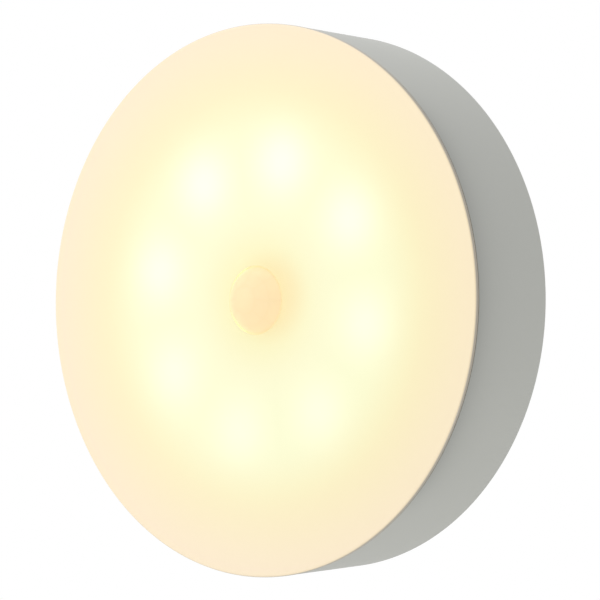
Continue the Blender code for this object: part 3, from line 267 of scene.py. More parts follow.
class NightLightSizes(bpy.types.PropertyGroup):
    """Sizes of the pieces and patterns that are finer than the solids."""

    dome_radius: length("Dome", "Outer radius of the sensor dome", 5.3 * MM)
    dome_wall: length("Dome wall", "Wall of the sensor dome", 0.6 * MM)
    mouth_edge: length("Mouth edge", "Rounding of the recess, the port and the rim", 0.15 * MM)
    spot: length("Spot", "Radius at which an LED's spot on the face has faded to 60%", 3.4 * MM)
    camera_distance: length("Camera distance", "From the camera to the face", 0.6)


class NightLightColours(bpy.types.PropertyGroup):
    """Colours of the finishes that show, of the face's glow, and of the painted light and shade on
    the dome and the lip.
    """

    wall: colour("Wall", "Light grey ABS of the housing", "A2A39E")
    opal: colour("Opal", "The opal face with its LEDs off", "B5B0A2")
    # Painted shade: the lip's colour is darker than the opal's, for the shade along the lip's side
    lip: colour("Lip", "The side of the opal face's lip, which passes no light", "9A9388")
    glow_1: colour("Glow at the dome", "The lit face beside the dome", "FEF8C8")
    glow_2: colour("Glow inside the ring", "The lit face between the dome and the LEDs", "FFFCD5")
    glow_3: colour("Glow over the LEDs", "The lit face between two spots", "FFFFD9")
    glow_4: colour("Glow outside the ring", "The lit face just outside the LEDs", "FFFDD6")
    glow_5: colour("Glow of the field", "The lit face halfway to its rim", "FFF4CC")
    glow_6: colour("Glow at the rim", "The lit face at its rim", "FFEED1")
    dome: colour("Dome", "Milky plastic of the sensor dome", "B0A594")
    # Painted light: the dome is no lamp, and its glows stand for the face's light that falls into
    # it
    dome_top: colour("Dome's top", "The LEDs' light that its top passes on", "DDC492")
    dome_foot: colour("Dome's foot", "The LEDs' light that its foot passes on", "DDC494")
    # Painted shade: the -X side's glow is darker than the rest of the dome's
    dome_side: colour("Dome's side", "The LEDs' light that its -X side passes on", "DBAB7C")
    floor: colour("Floor", "The studio's floor", "DCDCDA")


def add_node(tree, kind, sockets=None, **settings):
    """Adds a node, and sets each socket, by name or number, or links it to an output."""
    made = tree.nodes.new(kind)
    for setting, value in settings.items():
        setattr(made, setting, value)
    for socket, value in (sockets or {}).items():
        if isinstance(value, bpy.types.NodeSocket):
            tree.links.new(value, made.inputs[socket])
        else:
            made.inputs[socket].default_value = value
    return made


def maths(tree, operation, *values):
    """The result of one operation on up to three numbers."""
    sockets = dict(enumerate(values))
    return add_node(tree, "ShaderNodeMath", sockets, operation=operation).outputs[0]


def vector_maths(tree, operation, first, second):
    """The result of one operation on two vectors or colours."""
    sockets = {0: first, 1: second}
    return add_node(tree, "ShaderNodeVectorMath", sockets, operation=operation).outputs["Vector"]


def dot(tree, first, second):
    """The dot product of two vectors."""
    sockets = {0: first, 1: second}
    made = add_node(tree, "ShaderNodeVectorMath", sockets, operation="DOT_PRODUCT")
    return made.outputs["Value"]


def scaled(tree, vector, share):
    """A vector or a colour times a number."""
    sockets = {0: vector, "Scale": share}
    return add_node(tree, "ShaderNodeVectorMath", sockets, operation="SCALE").outputs["Vector"]


def moved(tree, place, way):
    """A place, shifted by a way."""
    sockets = {"Vector": place, "Location": tuple(way)}
    return add_node(tree, "ShaderNodeMapping", sockets).outputs["Vector"]


def rising(tree, value, start, full, low=0, high=1, shape="LINEAR"):
    """A number that goes from low to high while a value goes from start to full."""
    sockets = {"Value": value, "From Min": start, "From Max": full, "To Min": low, "To Max": high}
    made = add_node(tree, "ShaderNodeMapRange", sockets, interpolation_type=shape)
    return made.outputs["Result"]


def blended(tree, share, first, second):
    """A mix of two colours, with a share of the second."""
    sockets = {"Factor": share, MIX_A: first, MIX_B: second}
    return add_node(tree, "ShaderNodeMix", sockets, data_type="RGBA").outputs[MIX_RESULT]


def new_material(name):
    """A material of one Principled shader, with its node tree and that shader."""
    made = bpy.data.materials.new(name)
    made.use_nodes = True
    tree = made.node_tree
    tree.nodes.clear()
    shader = add_node(tree, "ShaderNodeBsdfPrincipled")
    add_node(tree, "ShaderNodeOutputMaterial", {"Surface": shader.outputs["BSDF"]})
    return made, tree, shader


def add_grain(tree, shader, low, high, spacing, depth, roughness, stretch=(1, 1, 1)):
    """Mottles colour, roughness and surface with a noise, its cells a spacing apart.

    The colour and the roughness each go from a low to a high value, and the surface rises by the
    depth. A stretch under 1 draws the cells out along its axis.
    """
    place = add_node(tree, "ShaderNodeTexCoord").outputs["Object"]
    mapped = add_node(
        tree, "ShaderNodeMapping", {"Vector": place, "Scale": stretch}
    ).outputs["Vector"]
    noise = add_node(
        tree,
        "ShaderNodeTexNoise",
        {
            "Vector": mapped,
            "Scale": 1 / spacing,
            "Detail": NOISE_DETAIL,
            "Roughness": NOISE_ROUGHNESS,
        },
    ).outputs["Fac"]
    shades = blended(tree, noise, (*low, 1), (*high, 1))
    rough = rising(tree, noise, 0, 1, *roughness)
    bump = add_node(tree, "ShaderNodeBump", {"Height": noise, "Distance": depth}).outputs["Normal"]
    tree.links.new(shades, shader.inputs["Base Color"])
    tree.links.new(rough, shader.inputs["Roughness"])
    tree.links.new(bump, shader.inputs["Normal"])
    return shades


def clouded(middle, cloud):
    """A colour's darker and lighter shades, a small share to either side of it."""
    return Vector(middle) * (1 - cloud), Vector(middle) * (1 + cloud)


def fine_abs(colours):
    """Light grey ABS from a spark-eroded mould: satin, with a faint cloudiness up close, and
    painted shade beside the joint.
    """
    made, tree, shader = new_material("satin_grey_abs")
    # The eroded skin's grain is 0.05 mm; it is drawn at 0.4 mm so that it shows as slight cloud
    low, high = clouded(colours.wall, WALL_CLOUD)
    shades = add_grain(tree, shader, low, high, 0.4 * MM, 0.002 * MM, (0.48, 0.54))
    # Painted shade: the skin is darker towards the joint, on the side that the soft boxes don't
    # reach
    place = add_node(tree, "ShaderNodeTexCoord").outputs["Object"]
    split = add_node(tree, "ShaderNodeSeparateXYZ", {0: place}).outputs
    reach = maths(
        tree, "MULTIPLY_ADD", split["Y"], -1 / JOINT_SHADE_REACH, -CUP_TOP / JOINT_SHADE_REACH
    )
    start, full = JOINT_SHADE_START * FACE_RADIUS, JOINT_SHADE_FULL * FACE_RADIUS
    depth = rising(tree, split["X"], start, full, high=-JOINT_SHADE, shape="SMOOTHSTEP")
    painted_shade = maths(tree, "MULTIPLY_ADD", maths(tree, "EXPONENT", reach), depth, 1)
    tree.links.new(scaled(tree, shades, painted_shade), shader.inputs["Base Color"])
    shader.inputs["IOR"].default_value = ABS_IOR
    return made


def flat_radius(tree, place):
    """Distance from the lamp's axis."""
    flat = vector_maths(tree, "MULTIPLY", place, (1, 0, 1))
    return add_node(tree, "ShaderNodeVectorMath", {0: flat}, operation="LENGTH").outputs["Value"]


def height_ramp(tree, place, start, full, high=1):
    """0 up to one place along Y, and the high value from another on."""
    height = add_node(tree, "ShaderNodeSeparateXYZ", {0: place}).outputs["Y"]
    return rising(tree, height, start, full, high=high)


def seam_leak(tree, place):
    """What part of the glow comes out under the lip, through the joint with the wall."""
    return height_ramp(tree, place, -LIP_BACK - SEAM_START, -LIP_BACK - SEAM_FULL, SEAM_LEAK)


def fading_lip(tree, place, radius):
    """0 on the opal face's front, and 1 on its lip's side and back."""
    down = height_ramp(tree, place, -RIM_PLANE + LIP_SIDE_START, -RIM_PLANE + LIP_SIDE_FULL)
    out = rising(tree, radius, FACE_RADIUS - LIP_START, FACE_RADIUS - LIP_FULL)
    return maths(tree, "MULTIPLY", down, out)


def in_bore(tree, place):
    """1 on the wall of the hole that the dome comes through, and 0 on the face's front."""
    down = height_ramp(tree, place, -CROWN_TOP + BORE_START, -CROWN_TOP + BORE_FULL)
    near = maths(tree, "LESS_THAN", flat_radius(tree, place), FLANGE_RADIUS)
    return maths(tree, "MULTIPLY", down, near)


def spot_shape(tree, place, radius, spot_size):
    """1 over each LED and fading round it: the angle is folded onto one LED of the ring."""
    split = add_node(tree, "ShaderNodeSeparateXYZ", {0: place}).outputs
    angle = maths(tree, "ARCTAN2", split["Z"], split["X"])
    from_first = maths(tree, "SUBTRACT", angle, LED_START)
    folded = maths(tree, "WRAP", from_first, LED_STEP / 2, -LED_STEP / 2)
    along = maths(tree, "MULTIPLY_ADD", radius, maths(tree, "COSINE", folded), -LED_RING)
    across = maths(tree, "MULTIPLY", radius, maths(tree, "SINE", folded))
    offset = add_node(tree, "ShaderNodeCombineXYZ", {"X": along, "Y": across}).outputs[0]
    faded = maths(tree, "MULTIPLY", dot(tree, offset, offset), -0.5 / spot_size**2)
    return maths(tree, "EXPONENT", faded)


def ring_glow(tree, radius, colours):
    """What the LEDs add: the look of each ring of the face less what the room gives it."""
    share = maths(tree, "DIVIDE", radius, FACE_RADIUS)
    ramp = add_node(tree, "ShaderNodeValToRGB", {"Fac": share})
    ramp.color_ramp.interpolation = "CARDINAL"
    room = Vector(colours.opal) * ROOM_LIGHT + Vector((GLOSS_LIGHT,) * 3)
    glows = (
        colours.glow_1,
        colours.glow_2,
        colours.glow_3,
        colours.glow_4,
        colours.glow_5,
        colours.glow_6,
    )
    stops = ramp.color_ramp.elements
    while len(stops) < len(glows):
        stops.new(0.5)
    for stop, position, lit in zip(stops, GLOW_STOPS, glows):
        stop.position = position
        stop.color = (*(Vector(lit) - room), 1)
    return ramp.outputs["Color"]


def spot_glow(tree, place, radius, spot_size):
    """What the spots over the LEDs add; the upper ones stand out more than the lower ones."""
    light = scaled(tree, tuple(SPOT_GAIN), spot_shape(tree, place, radius, spot_size))
    rise = dot(tree, place, (0, 0, SPOT_LEAN / LED_RING))
    return scaled(tree, light, maths(tree, "ADD", rise, 1))


def tube_shade(tree, place):
    """What the sensor's tube keeps off the middle of the face."""
    radius = flat_radius(tree, moved(tree, place, -TUBE_SHADE_MIDDLE))
    shade = rising(tree, radius, TUBE_SHADE_FULL, TUBE_SHADE_END, 1, 0, "SMOOTHSTEP")
    return scaled(tree, tuple(TUBE_SHADE), shade)


def right_loss(tree, place):
    """What the light loses from the middle to the right rim, where it is a little warmer."""
    across = maths(tree, "MAXIMUM", dot(tree, place, (1 / FACE_RADIUS, 0, 0)), 0)
    return scaled(tree, tuple(WARM_SIDE), across)


def lit_opal(sizes, colours):
    """Opal acrylic, satin and lit from behind: pale soft discs over the LEDs in a warm glow."""
    made, tree, shader = new_material("opal_acrylic_lit")
    low, high = clouded(colours.opal, OPAL_CLOUD)
    shades = add_grain(tree, shader, low, high, 0.5 * MM, 0.001 * MM, (0.34, 0.40))
    shader.inputs["IOR"].default_value = ACRYLIC_IOR
    place = add_node(tree, "ShaderNodeTexCoord").outputs["Object"]
    lip = fading_lip(tree, place, flat_radius(tree, place))
    # The lip's side and back take the lip's darker colour, which is painted shade
    skin = blended(tree, lip, shades, (*colours.lip, 1))
    tree.links.new(skin, shader.inputs["Base Color"])

    seen = moved(tree, place, -GLOW_MIDDLE)
    radius = flat_radius(tree, seen)
    lit = ring_glow(tree, radius, colours)
    lit = vector_maths(tree, "ADD", lit, spot_glow(tree, seen, radius, sizes.spot))
    lit = vector_maths(tree, "SUBTRACT", lit, tube_shade(tree, place))
    lit = vector_maths(tree, "SUBTRACT", lit, right_loss(tree, place))
    # Little of the room's light gets into the dome's hole, and its wall glows as the plate does
    bore = scaled(tree, tuple(Vector(colours.opal) * BORE_GLOW), in_bore(tree, place))
    lit = vector_maths(tree, "ADD", lit, bore)

    # The upper left is a little stronger, the lip's side stays dark, and its back glows a little
    lean = dot(tree, place, tuple(GLOW_LEAN / FACE_RADIUS))
    front = maths(tree, "SUBTRACT", 1, lip)
    front = maths(tree, "MAXIMUM", front, seam_leak(tree, place))
    strength = maths(tree, "MULTIPLY_ADD", front, lean, front)
    tree.links.new(scaled(tree, lit, strength), shader.inputs["Emission Color"])
    shader.inputs["Emission Strength"].default_value = 1
    return made


def from_line(tree, angle, step):
    """How far an angle is from the nearest whole number of steps."""
    return maths(tree, "ABSOLUTE", maths(tree, "WRAP", angle, step / 2, -step / 2))


def facet_edges(tree, place, centre):
    """1 over the edges between the facets inside the dome, and 0 between them."""
    tilt_step = math.pi / FACETS_HIGH
    turn_step = 2 * math.pi / FACETS_ROUND
    out = moved(tree, place, (0, centre, 0))
    split = add_node(tree, "ShaderNodeSeparateXYZ", {0: out}).outputs
    height = maths(tree, "MULTIPLY", split["Y"], -1)
    tilt = maths(tree, "ARCTAN2", flat_radius(tree, out), height)
    around = maths(tree, "ARCTAN2", split["Z"], split["X"])
    # The middle facet is whole, so no line is nearer to the top than the first ring
    ring = from_line(tree, maths(tree, "MAXIMUM", tilt, tilt_step / 2), tilt_step)
    in_middle = maths(tree, "LESS_THAN", tilt, tilt_step)
    turn = from_line(tree, around, turn_step)
    spoke = maths(tree, "MULTIPLY_ADD", turn, maths(tree, "SINE", tilt), in_middle)
    nearest = maths(tree, "MINIMUM", ring, spoke)
    return rising(tree, nearest, FACET_EDGE / 4, FACET_EDGE, 1, 0, "SMOOTHSTEP")


def milky_dome(sizes, colours):
    """Milky polyethylene that lets heat through: satin, half clear, lit by the face round it; that
    light is painted on as a glow, with painted shade on its -X side.
    """
    made, tree, shader = new_material("milky_polyethylene")
    low, high = clouded(colours.dome, DOME_CLOUD)
    add_grain(tree, shader, low, high, 0.5 * MM, 0.001 * MM, (0.26, 0.32))
    shader.inputs["IOR"].default_value = POLYETHYLENE_IOR
    shader.inputs["Specular IOR Level"].default_value = DOME_GLOSS
    shader.inputs["Transmission Weight"].default_value = DOME_CLEARNESS
    place = add_node(tree, "ShaderNodeTexCoord").outputs["Object"]
    split = add_node(tree, "ShaderNodeSeparateXYZ", {0: place}).outputs
    up = rising(
        tree, split["Y"], -CROWN_TOP, -CROWN_TOP - DOME_FOOT_REACH, shape="SMOOTHSTEP"
    )
    # Painted shade: the -X side takes the darker side glow
    aside = rising(tree, split["X"], -DOME_SIDE_START, -DOME_SIDE_FULL, shape="SMOOTHSTEP")
    glow = blended(tree, up, (*colours.dome_foot, 1), (*colours.dome_top, 1))
    glow = blended(tree, aside, glow, (*colours.dome_side, 1))
    # Painted light: the glow stands for the LEDs' light that the outer skin scatters. It goes on
    # the outer skin only, so the sensor behind the inner facets stays dim
    inside = add_node(tree, "ShaderNodeNewGeometry").outputs["Backfacing"]
    skin = maths(tree, "SUBTRACT", 1, inside)
    # Painted shade: faint dark lines on the glow over the edges between the inner facets
    edges = facet_edges(tree, place, DOME_TOP - sizes.dome_radius)
    lined = maths(tree, "MULTIPLY_ADD", edges, -FACET_SHADE, 1)
    scattered = scaled(tree, glow, maths(tree, "MULTIPLY", skin, lined))
    tree.links.new(scattered, shader.inputs["Emission Color"])
    shader.inputs["Emission Strength"].default_value = 1
    return made


def metal_finish(name, low, high, spacing, depth, roughness, stretch=(1, 1, 1), share=1):
    """A metal's bare or plated skin: two shades, a grain, a gloss and its share of metal."""
    made, tree, shader = new_material(name)
    add_grain(tree, shader, linear(low), linear(high), spacing, depth, roughness, stretch)
    shader.inputs["Metallic"].default_value = share
    return made


def drawn_steel():
    """Tin-plated sheet steel, pressed to shape: soft streaks along the pull of the die."""
    return metal_finish(
        "tinned_sheet_steel",
        "B4B4B2",
        "C9C9C6",
        0.3 * MM,
        0.002 * MM,
        (0.25, 0.38),
        STEEL_STREAKS,
    )


def plain_finish(name, low, high, spacing, depth, roughness, ior=PLAIN_IOR):
    """A moulded, cast or sheet finish that needs only its two shades, its grain and its gloss."""
    made, tree, shader = new_material(name)
    add_grain(tree, shader, linear(low), linear(high), spacing, depth, roughness)
    shader.inputs["IOR"].default_value = ior
    return made


def numbered(stem):
    """The solids that are numbered after one name."""
    return [name for name in NODES if name.startswith(stem)]


def welded_copy(node):
    """A copy of a solid's mesh with its triangles merged, and flat areas made whole."""
    bm = bmesh.new()
    bm.from_mesh(NODES[node].data)
    bmesh.ops.remove_doubles(bm, verts=bm.verts, dist=WELD)
    bmesh.ops.dissolve_limit(bm, angle_limit=FLAT_ANGLE, verts=bm.verts, edges=bm.edges)
    return bm


def sharp_edges(bm, wanted):
    """Edges whose two faces meet sharply and whose middle is wanted."""
    return [
        edge
        for edge in bm.edges
        if len(edge.link_faces) == 2
        and edge.calc_face_angle() > SQUARE_ANGLE
        and wanted((edge.verts[0].co + edge.verts[1].co) / 2)
    ]


def round_off(bm, edges, width):
    """Rounds edges to a width."""
    bmesh.ops.bevel(
        bm,
        geom=edges,
        affect="EDGES",
        offset=width,
        segments=EDGE_SEGMENTS,
        profile=0.5,
        material=-1,
        clamp_overlap=True,
    )


def refine_rings(bm):
    """Cuts the chords of rings round the lamp's axis, and moves the new points out to the ring."""
    ring = bm.verts.layers.float.new("ring")
    chords = []
    for vert in bm.verts:
        vert[ring] = math.hypot(vert.co.x, vert.co.z)
    for edge in bm.edges:
        first, second = edge.verts
        same_ring = abs(first[ring] - second[ring]) < SAME_RING
        same_height = abs(first.co.y - second.co.y) < SAME_RING
        if same_ring and same_height and edge.calc_length() < first[ring] * LONGEST_CHORD:
            chords.append(edge)
    made = bmesh.ops.subdivide_edges(bm, edges=chords, cuts=RING_CUTS, use_grid_fill=True)
    for vert in made["geom_inner"]:
        if isinstance(vert, bmesh.types.BMVert):
            out = Vector((vert.co.x, 0, vert.co.z))
            if out.length > 0:
                out *= vert[ring] / out.length
                vert.co = (out.x, vert.co.y, out.z)


def turned(profile):
    """Spins a profile of (radius, height) points round the lamp's axis."""
    bm = bmesh.new()
    points = [bm.verts.new((radius, -height, 0)) for radius, height in profile]
    edges = [bm.edges.new(pair) for pair in zip(points, points[1:])]
    bmesh.ops.spin(
        bm,
        geom=points + edges,
        cent=(0, 0, 0),
        axis=(0, 1, 0),
        angle=2 * math.pi,
        steps=SMALL_STEPS,
        use_merge=True,
    )
    bmesh.ops.remove_doubles(bm, verts=bm.verts, dist=WELD)
    bmesh.ops.recalc_face_normals(bm, faces=bm.faces)
    return bm


def arc(centre_radius, centre_height, radius, start, end, points):
    """Points of an arc in a profile, its angles in degrees from the way out of the axis."""
    turns = [math.radians(start + (end - start) * i / (points - 1)) for i in range(points)]
    return [
        (centre_radius + radius * math.cos(turn), centre_height + radius * math.sin(turn))
        for turn in turns
    ]


def as_object(name, bm):
    """An object in the scene that holds a bmesh."""
    mesh = bpy.data.meshes.new(name)
    bm.to_mesh(mesh)
    bm.free()
    made = bpy.data.objects.new(name, mesh)
    bpy.context.scene.collection.objects.link(made)
    return made


def carved(bm, tool):
    """A bmesh with another cut out of it, by an exact Boolean."""
    body = as_object("body_blank", bm)
    cutter = as_object("body_tool", tool)
    boolean = body.modifiers.new("Carve", "BOOLEAN")
    boolean.operation = "DIFFERENCE"
    boolean.solver = "EXACT"
    boolean.object = cutter
    shaped = body.evaluated_get(bpy.context.evaluated_depsgraph_get()).to_mesh()
    result = bmesh.new()
    result.from_mesh(shaped)
    for spare in (body, cutter):
        mesh = spare.data
        bpy.data.objects.remove(spare)
        bpy.data.meshes.remove(mesh)
    return result


def finish_piece(name, bm, material, body, nodes=(), sharp=SHARP_ANGLE):
    """Makes a bmesh a finished piece that rides on a body and stands for some solids."""
    piece = as_object(name, bm)
    piece.data.shade_smooth()
    piece.data.set_sharp_from_angle(angle=sharp)
    piece.data.materials.append(material)
    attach(piece, body)
    if nodes:
        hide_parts(*nodes)
    return piece


def weigh_normals(piece):
    """Keeps large flats flat in shading beside small rounded edges."""
    weights = piece.modifiers.new("Flat shading", "WEIGHTED_NORMAL")
    weights.keep_sharp = True
    weights.weight = 100


def dress(material, *names):
    """Gives solids that stay in the scene their finish."""
    for name in names:
        mesh = NODES[name].data
        mesh.materials.clear()
        mesh.materials.append(material)


def settings():
    """The user's sizes and colours."""
    return bpy.context.scene.night_light_sizes, bpy.context.scene.night_light_colours


class NIGHTLIGHT_OT_stage(bpy.types.Operator):
    """Set up the camera, the white studio, its soft lights and its floor"""

    bl_idname = "night_light.stage"
    bl_label = "Studio"

    def execute(self, context):
        sizes, colours = settings()
        self.place_camera(context.scene, sizes)
        self.light_world(context.scene)
        self.hang_lamps()
        self.lay_floor(colours)
        context.scene.view_settings.view_transform = "Standard"
        return {"FINISHED"}

    def place_camera(self, scene, sizes):
        """The camera looks a little past the face's centre, which lands on its own pixel."""
        right = Vector((math.cos(CAMERA_AZIMUTH), math.sin(CAMERA_AZIMUTH), 0))
        back = Vector((math.sin(CAMERA_AZIMUTH), -math.cos(CAMERA_AZIMUTH), 0))
        up = Vector((0, 0, 1))
        right, up = (
            right * math.cos(CAMERA_ROLL) + up * math.sin(CAMERA_ROLL),
            up * math.cos(CAMERA_ROLL) - right * math.sin(CAMERA_ROLL),
        )
        face_centre = Vector((0, -RIM_PLANE, 0))
        metres_per_pixel = sizes.camera_distance / FOCAL_PIXELS
        beside = PHOTO_SIDE / 2 - FACE_CENTRE_PIXEL[0]
        above = FACE_CENTRE_PIXEL[1] - PHOTO_SIDE / 2
        target = face_centre + (right * beside + up * above) * metres_per_pixel
        place = face_centre + back * sizes.camera_distance
        back = (place - target).normalized()
        right = (right - back * right.dot(back)).normalized()
        up = back.cross(right)
        camera = bpy.data.cameras.new("photo_camera")
        camera.sensor_width = SENSOR_SIDE
        camera.lens = SENSOR_SIDE * FOCAL_PIXELS / PHOTO_SIDE
        camera.clip_start = CLIP_START
        viewer = bpy.data.objects.new("photo_camera", camera)
        turn = Matrix((right, up, back)).transposed().to_4x4()
        viewer.matrix_world = Matrix.Translation(place) @ turn
        scene.collection.objects.link(viewer)
        scene.camera = viewer

    def light_world(self, scene):
        """White to the camera and in reflections, and a soft even light on everything."""
        world = bpy.data.worlds.new("white_studio")
        world.use_nodes = True
        tree = world.node_tree
        tree.nodes.clear()
        ray = add_node(tree, "ShaderNodeLightPath").outputs
        seen = maths(tree, "MAXIMUM", ray["Is Camera Ray"], ray["Is Glossy Ray"])
        seen = maths(tree, "MAXIMUM", seen, ray["Is Transmission Ray"])
        # The studio's walls are dimmer than its ceiling
        way = add_node(tree, "ShaderNodeTexCoord").outputs["Generated"]
        rise = add_node(tree, "ShaderNodeSeparateXYZ", {0: way}).outputs["Z"]
        steep = maths(tree, "MULTIPLY", rise, rise)
        strength = rising(tree, steep, 0, 1, SIDE_LIGHT, OVERHEAD_LIGHT)
        paper_white = (1, 1, 1, 1)
        light = add_node(
            tree, "ShaderNodeBackground", {"Color": paper_white, "Strength": strength}
        ).outputs[0]
        white = add_node(
            tree, "ShaderNodeBackground", {"Color": paper_white, "Strength": 1}
        ).outputs[0]
        mixed = add_node(tree, "ShaderNodeMixShader", {0: seen, 1: light, 2: white}).outputs[0]
        add_node(tree, "ShaderNodeOutputWorld", {"Surface": mixed})
        scene.world = world

    def hang_lamps(self):
        """Each soft box faces the lamp."""
        for name, place, width, height, power in SOFT_BOXES:
            light = bpy.data.lights.new(name, "AREA")
            light.shape = "RECTANGLE"
            light.size = width
            light.size_y = height
            light.energy = power
            box = bpy.data.objects.new(name, light)
            box.location = place
            box.rotation_euler = Vector(place).to_track_quat("Z", "Y").to_euler()
            bpy.context.scene.collection.objects.link(box)

    def lay_floor(self, colours):
        """A round pale floor well below the lamp."""
        bm = bmesh.new()
        bmesh.ops.create_circle(bm, cap_ends=True, segments=SMALL_STEPS, radius=FLOOR_RADIUS)
        bmesh.ops.translate(bm, verts=bm.verts, vec=(0, 0, -FLOOR_DROP))
        floor = as_object("studio_floor", bm)
        shade = Vector(colours.floor)
        made, tree, shader = new_material("matt_paper")
        darker = shade * (1 - FLOOR_CLOUD)
        add_grain(tree, shader, darker, shade, 3 * MM, 0.01 * MM, (0.85, 0.95))
        floor.data.materials.append(made)


class NIGHTLIGHT_OT_housing(bpy.types.Operator):
    """Make the grey cup: finely round, with its recess, port and joint edges softened"""

    bl_idname = "night_light.housing"
    bl_label = "Housing"

    def execute(self, context):
        sizes, colours = settings()
        bm = welded_copy("rear_housing")

        def at_mouth(middle):
            """On the back face inside the outer edge, at the port, or at the wall's free end."""
            radius = math.hypot(middle.x, middle.z)
            on_back = abs(middle.y) < WELD and radius < CUP_RADIUS - BACK_MARGIN
            on_wall = radius > CUP_RADIUS - WALL_MARGIN and middle.y < -WALL_START
            return on_back or on_wall

        round_off(bm, sharp_edges(bm, at_mouth), sizes.mouth_edge)
        refine_rings(bm)
        piece = finish_piece(
            "housing_cup", bm, fine_abs(colours), "lamp", ["rear_housing"]
        )
        weigh_normals(piece)
        return {"FINISHED"}


class NIGHTLIGHT_OT_face(bpy.types.Operator):
    """Make the opal face with its glow"""

    bl_idname = "night_light.face"
    bl_label = "Opal face"

    def execute(self, context):
        sizes, colours = settings()
        bm = welded_copy("front_diffuser")
        refine_rings(bm)
        piece = finish_piece(
            "opal_face", bm, lit_opal(sizes, colours), "lamp", ["front_diffuser"]
        )
        weigh_normals(piece)
        return {"FINISHED"}


class NIGHTLIGHT_OT_dome(bpy.types.Operator):
    """Make the milky sensor dome, smooth outside and faceted inside"""

    bl_idname = "night_light.dome"
    bl_label = "Sensor dome"

    def execute(self, context):
        sizes, colours = settings()
        radius = sizes.dome_radius
        centre = DOME_TOP - radius
        flange_top = DOME_FOOT + FLANGE
        foot = math.degrees(math.asin((flange_top - centre) / radius))
        profile = [(0, DOME_TOP)] + arc(0, centre, radius, 90, foot, DOME_POINTS)[1:]
        profile += [(FLANGE_RADIUS, flange_top), (FLANGE_RADIUS, DOME_FOOT), (0, DOME_FOOT)]
        bm = turned(profile)
        facets = bmesh.new()
        bmesh.ops.create_uvsphere(
            facets,
            u_segments=FACETS_ROUND,
            v_segments=FACETS_HIGH,
            radius=radius - sizes.dome_wall,
        )
        facing_out = Matrix.Rotation(math.radians(90), 3, "X")
        bmesh.ops.rotate(facets, verts=facets.verts, matrix=facing_out)
        bmesh.ops.translate(facets, verts=facets.verts, vec=(0, -centre, 0))
        bm = carved(bm, facets)
        finish_piece(
            "sensor_dome",
            bm,
            milky_dome(sizes, colours),
            "lamp",
            ["sensor_lens"],
            DOME_SHARP_ANGLE,
        )
        return {"FINISHED"}


class NIGHTLIGHT_OT_sensor(bpy.types.Operator):
    """Make the motion sensor's cap and tube, and finish what is under the dome"""

    bl_idname = "night_light.sensor"
    bl_label = "Motion sensor"

    def execute(self, context):
        steel = drawn_steel()
        can = welded_copy("sensor_can")
        finish_piece("sensor_cap", can, steel, "lamp", ["sensor_can"])
        tube = plain_finish("white_abs", "DADAD6", "E4E4E0", 0.4 * MM, 0.002 * MM, (0.42, 0.5))
        shroud = welded_copy("sensor_shroud")
        finish_piece("sensor_tube", shroud, tube, "lamp", ["sensor_shroud"])
        dress(tube, "battery_plug", "battery_socket")
        dress(steel, "sensor_header")
        # The filter lets heat through and looks almost black, with a mirror's gloss
        dark = plain_finish(
            "coated_silicon_filter",
            "15151A",
            "1D1D24",
            0.5 * MM,
            0.0005 * MM,
            (0.10, 0.16),
            DARK_FILTER_IOR,
        )
        dress(dark, "sensor_window", "daylight_sensor")
        return {"FINISHED"}


class NIGHTLIGHT_OT_switch(bpy.types.Operator):
    """Make the mode switch's knob, and finish the parts that slide with it and its cover"""

    bl_idname = "night_light.switch"
    bl_label = "Mode switch"

    def execute(self, context):
        knob = plain_finish(
            "white_abs_knob", "D8D8D4", "E0E0DC", 0.4 * MM, 0.002 * MM, (0.38, 0.46), ABS_IOR
        )
        bm = welded_copy("switch_knob")
        round_off(bm, sharp_edges(bm, lambda middle: middle.y > -KNOB_DEPTH), KNOB_EDGE)
        piece = finish_piece(
            "mode_knob", bm, knob, "mode_slider", ["switch_knob"]
        )
        weigh_normals(piece)
        dress(drawn_steel(), "switch_cover", "switch_wiper")
        # Acetal slides without grease: dense, black, slightly waxy
        acetal = plain_finish(
            "black_acetal", "1B1B1B", "242424", 0.4 * MM, 0.001 * MM, (0.32, 0.40), ACETAL_IOR
        )
        dress(acetal, "switch_slider", "switch_base")
        return {"FINISHED"}


class NIGHTLIGHT_OT_charging(bpy.types.Operator):
    """Make the charging socket's shell and tongue, with its row of contacts"""

    bl_idname = "night_light.charging"
    bl_label = "Charging socket"

    def execute(self, context):
        bm = welded_copy("charging_socket_shell")
        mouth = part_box("charging_socket_shell")[0].x
        round_off(bm, sharp_edges(bm, lambda middle: middle.x < mouth + WELD), SHELL_EDGE)
        shell = finish_piece(
            "charging_shell", bm, drawn_steel(), "lamp", ["charging_socket_shell"]
        )
        weigh_normals(shell)
        # Glass-filled nylon: black and rather matt
        nylon = plain_finish(
            "black_nylon", "181818", "222222", 0.3 * MM, 0.003 * MM, (0.5, 0.6), NYLON_IOR
        )
        dress(nylon, "charging_socket_tongue")
        self.lay_contacts()
        return {"FINISHED"}

    def lay_contacts(self):
        """A row of gilt strips, side by side on the tongue."""
        low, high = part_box("charging_socket_tongue")
        along = low.x + CONTACT_START + CONTACT_REACH / 2
        depth = (low.y + high.y) / 2 + TONGUE_HALF + CONTACT_THICKNESS / 2
        size = Matrix.Diagonal((CONTACT_REACH, CONTACT_THICKNESS, CONTACT_WIDTH, 1))
        bm = bmesh.new()
        for number in range(CONTACT_COUNT):
            middle = (along, depth, (number - (CONTACT_COUNT - 1) / 2) * CONTACT_PITCH)
            bmesh.ops.create_cube(bm, size=1, matrix=Matrix.Translation(middle) @ size)
        round_off(bm, bm.edges[:], CONTACT_THICKNESS / 4)
        gold = metal_finish(
            "gold_flash", "CFAE62", "DDBF78", 0.3 * MM, 0.0005 * MM, (0.2, 0.3)
        )
        finish_piece("charging_contacts", bm, gold, "lamp")


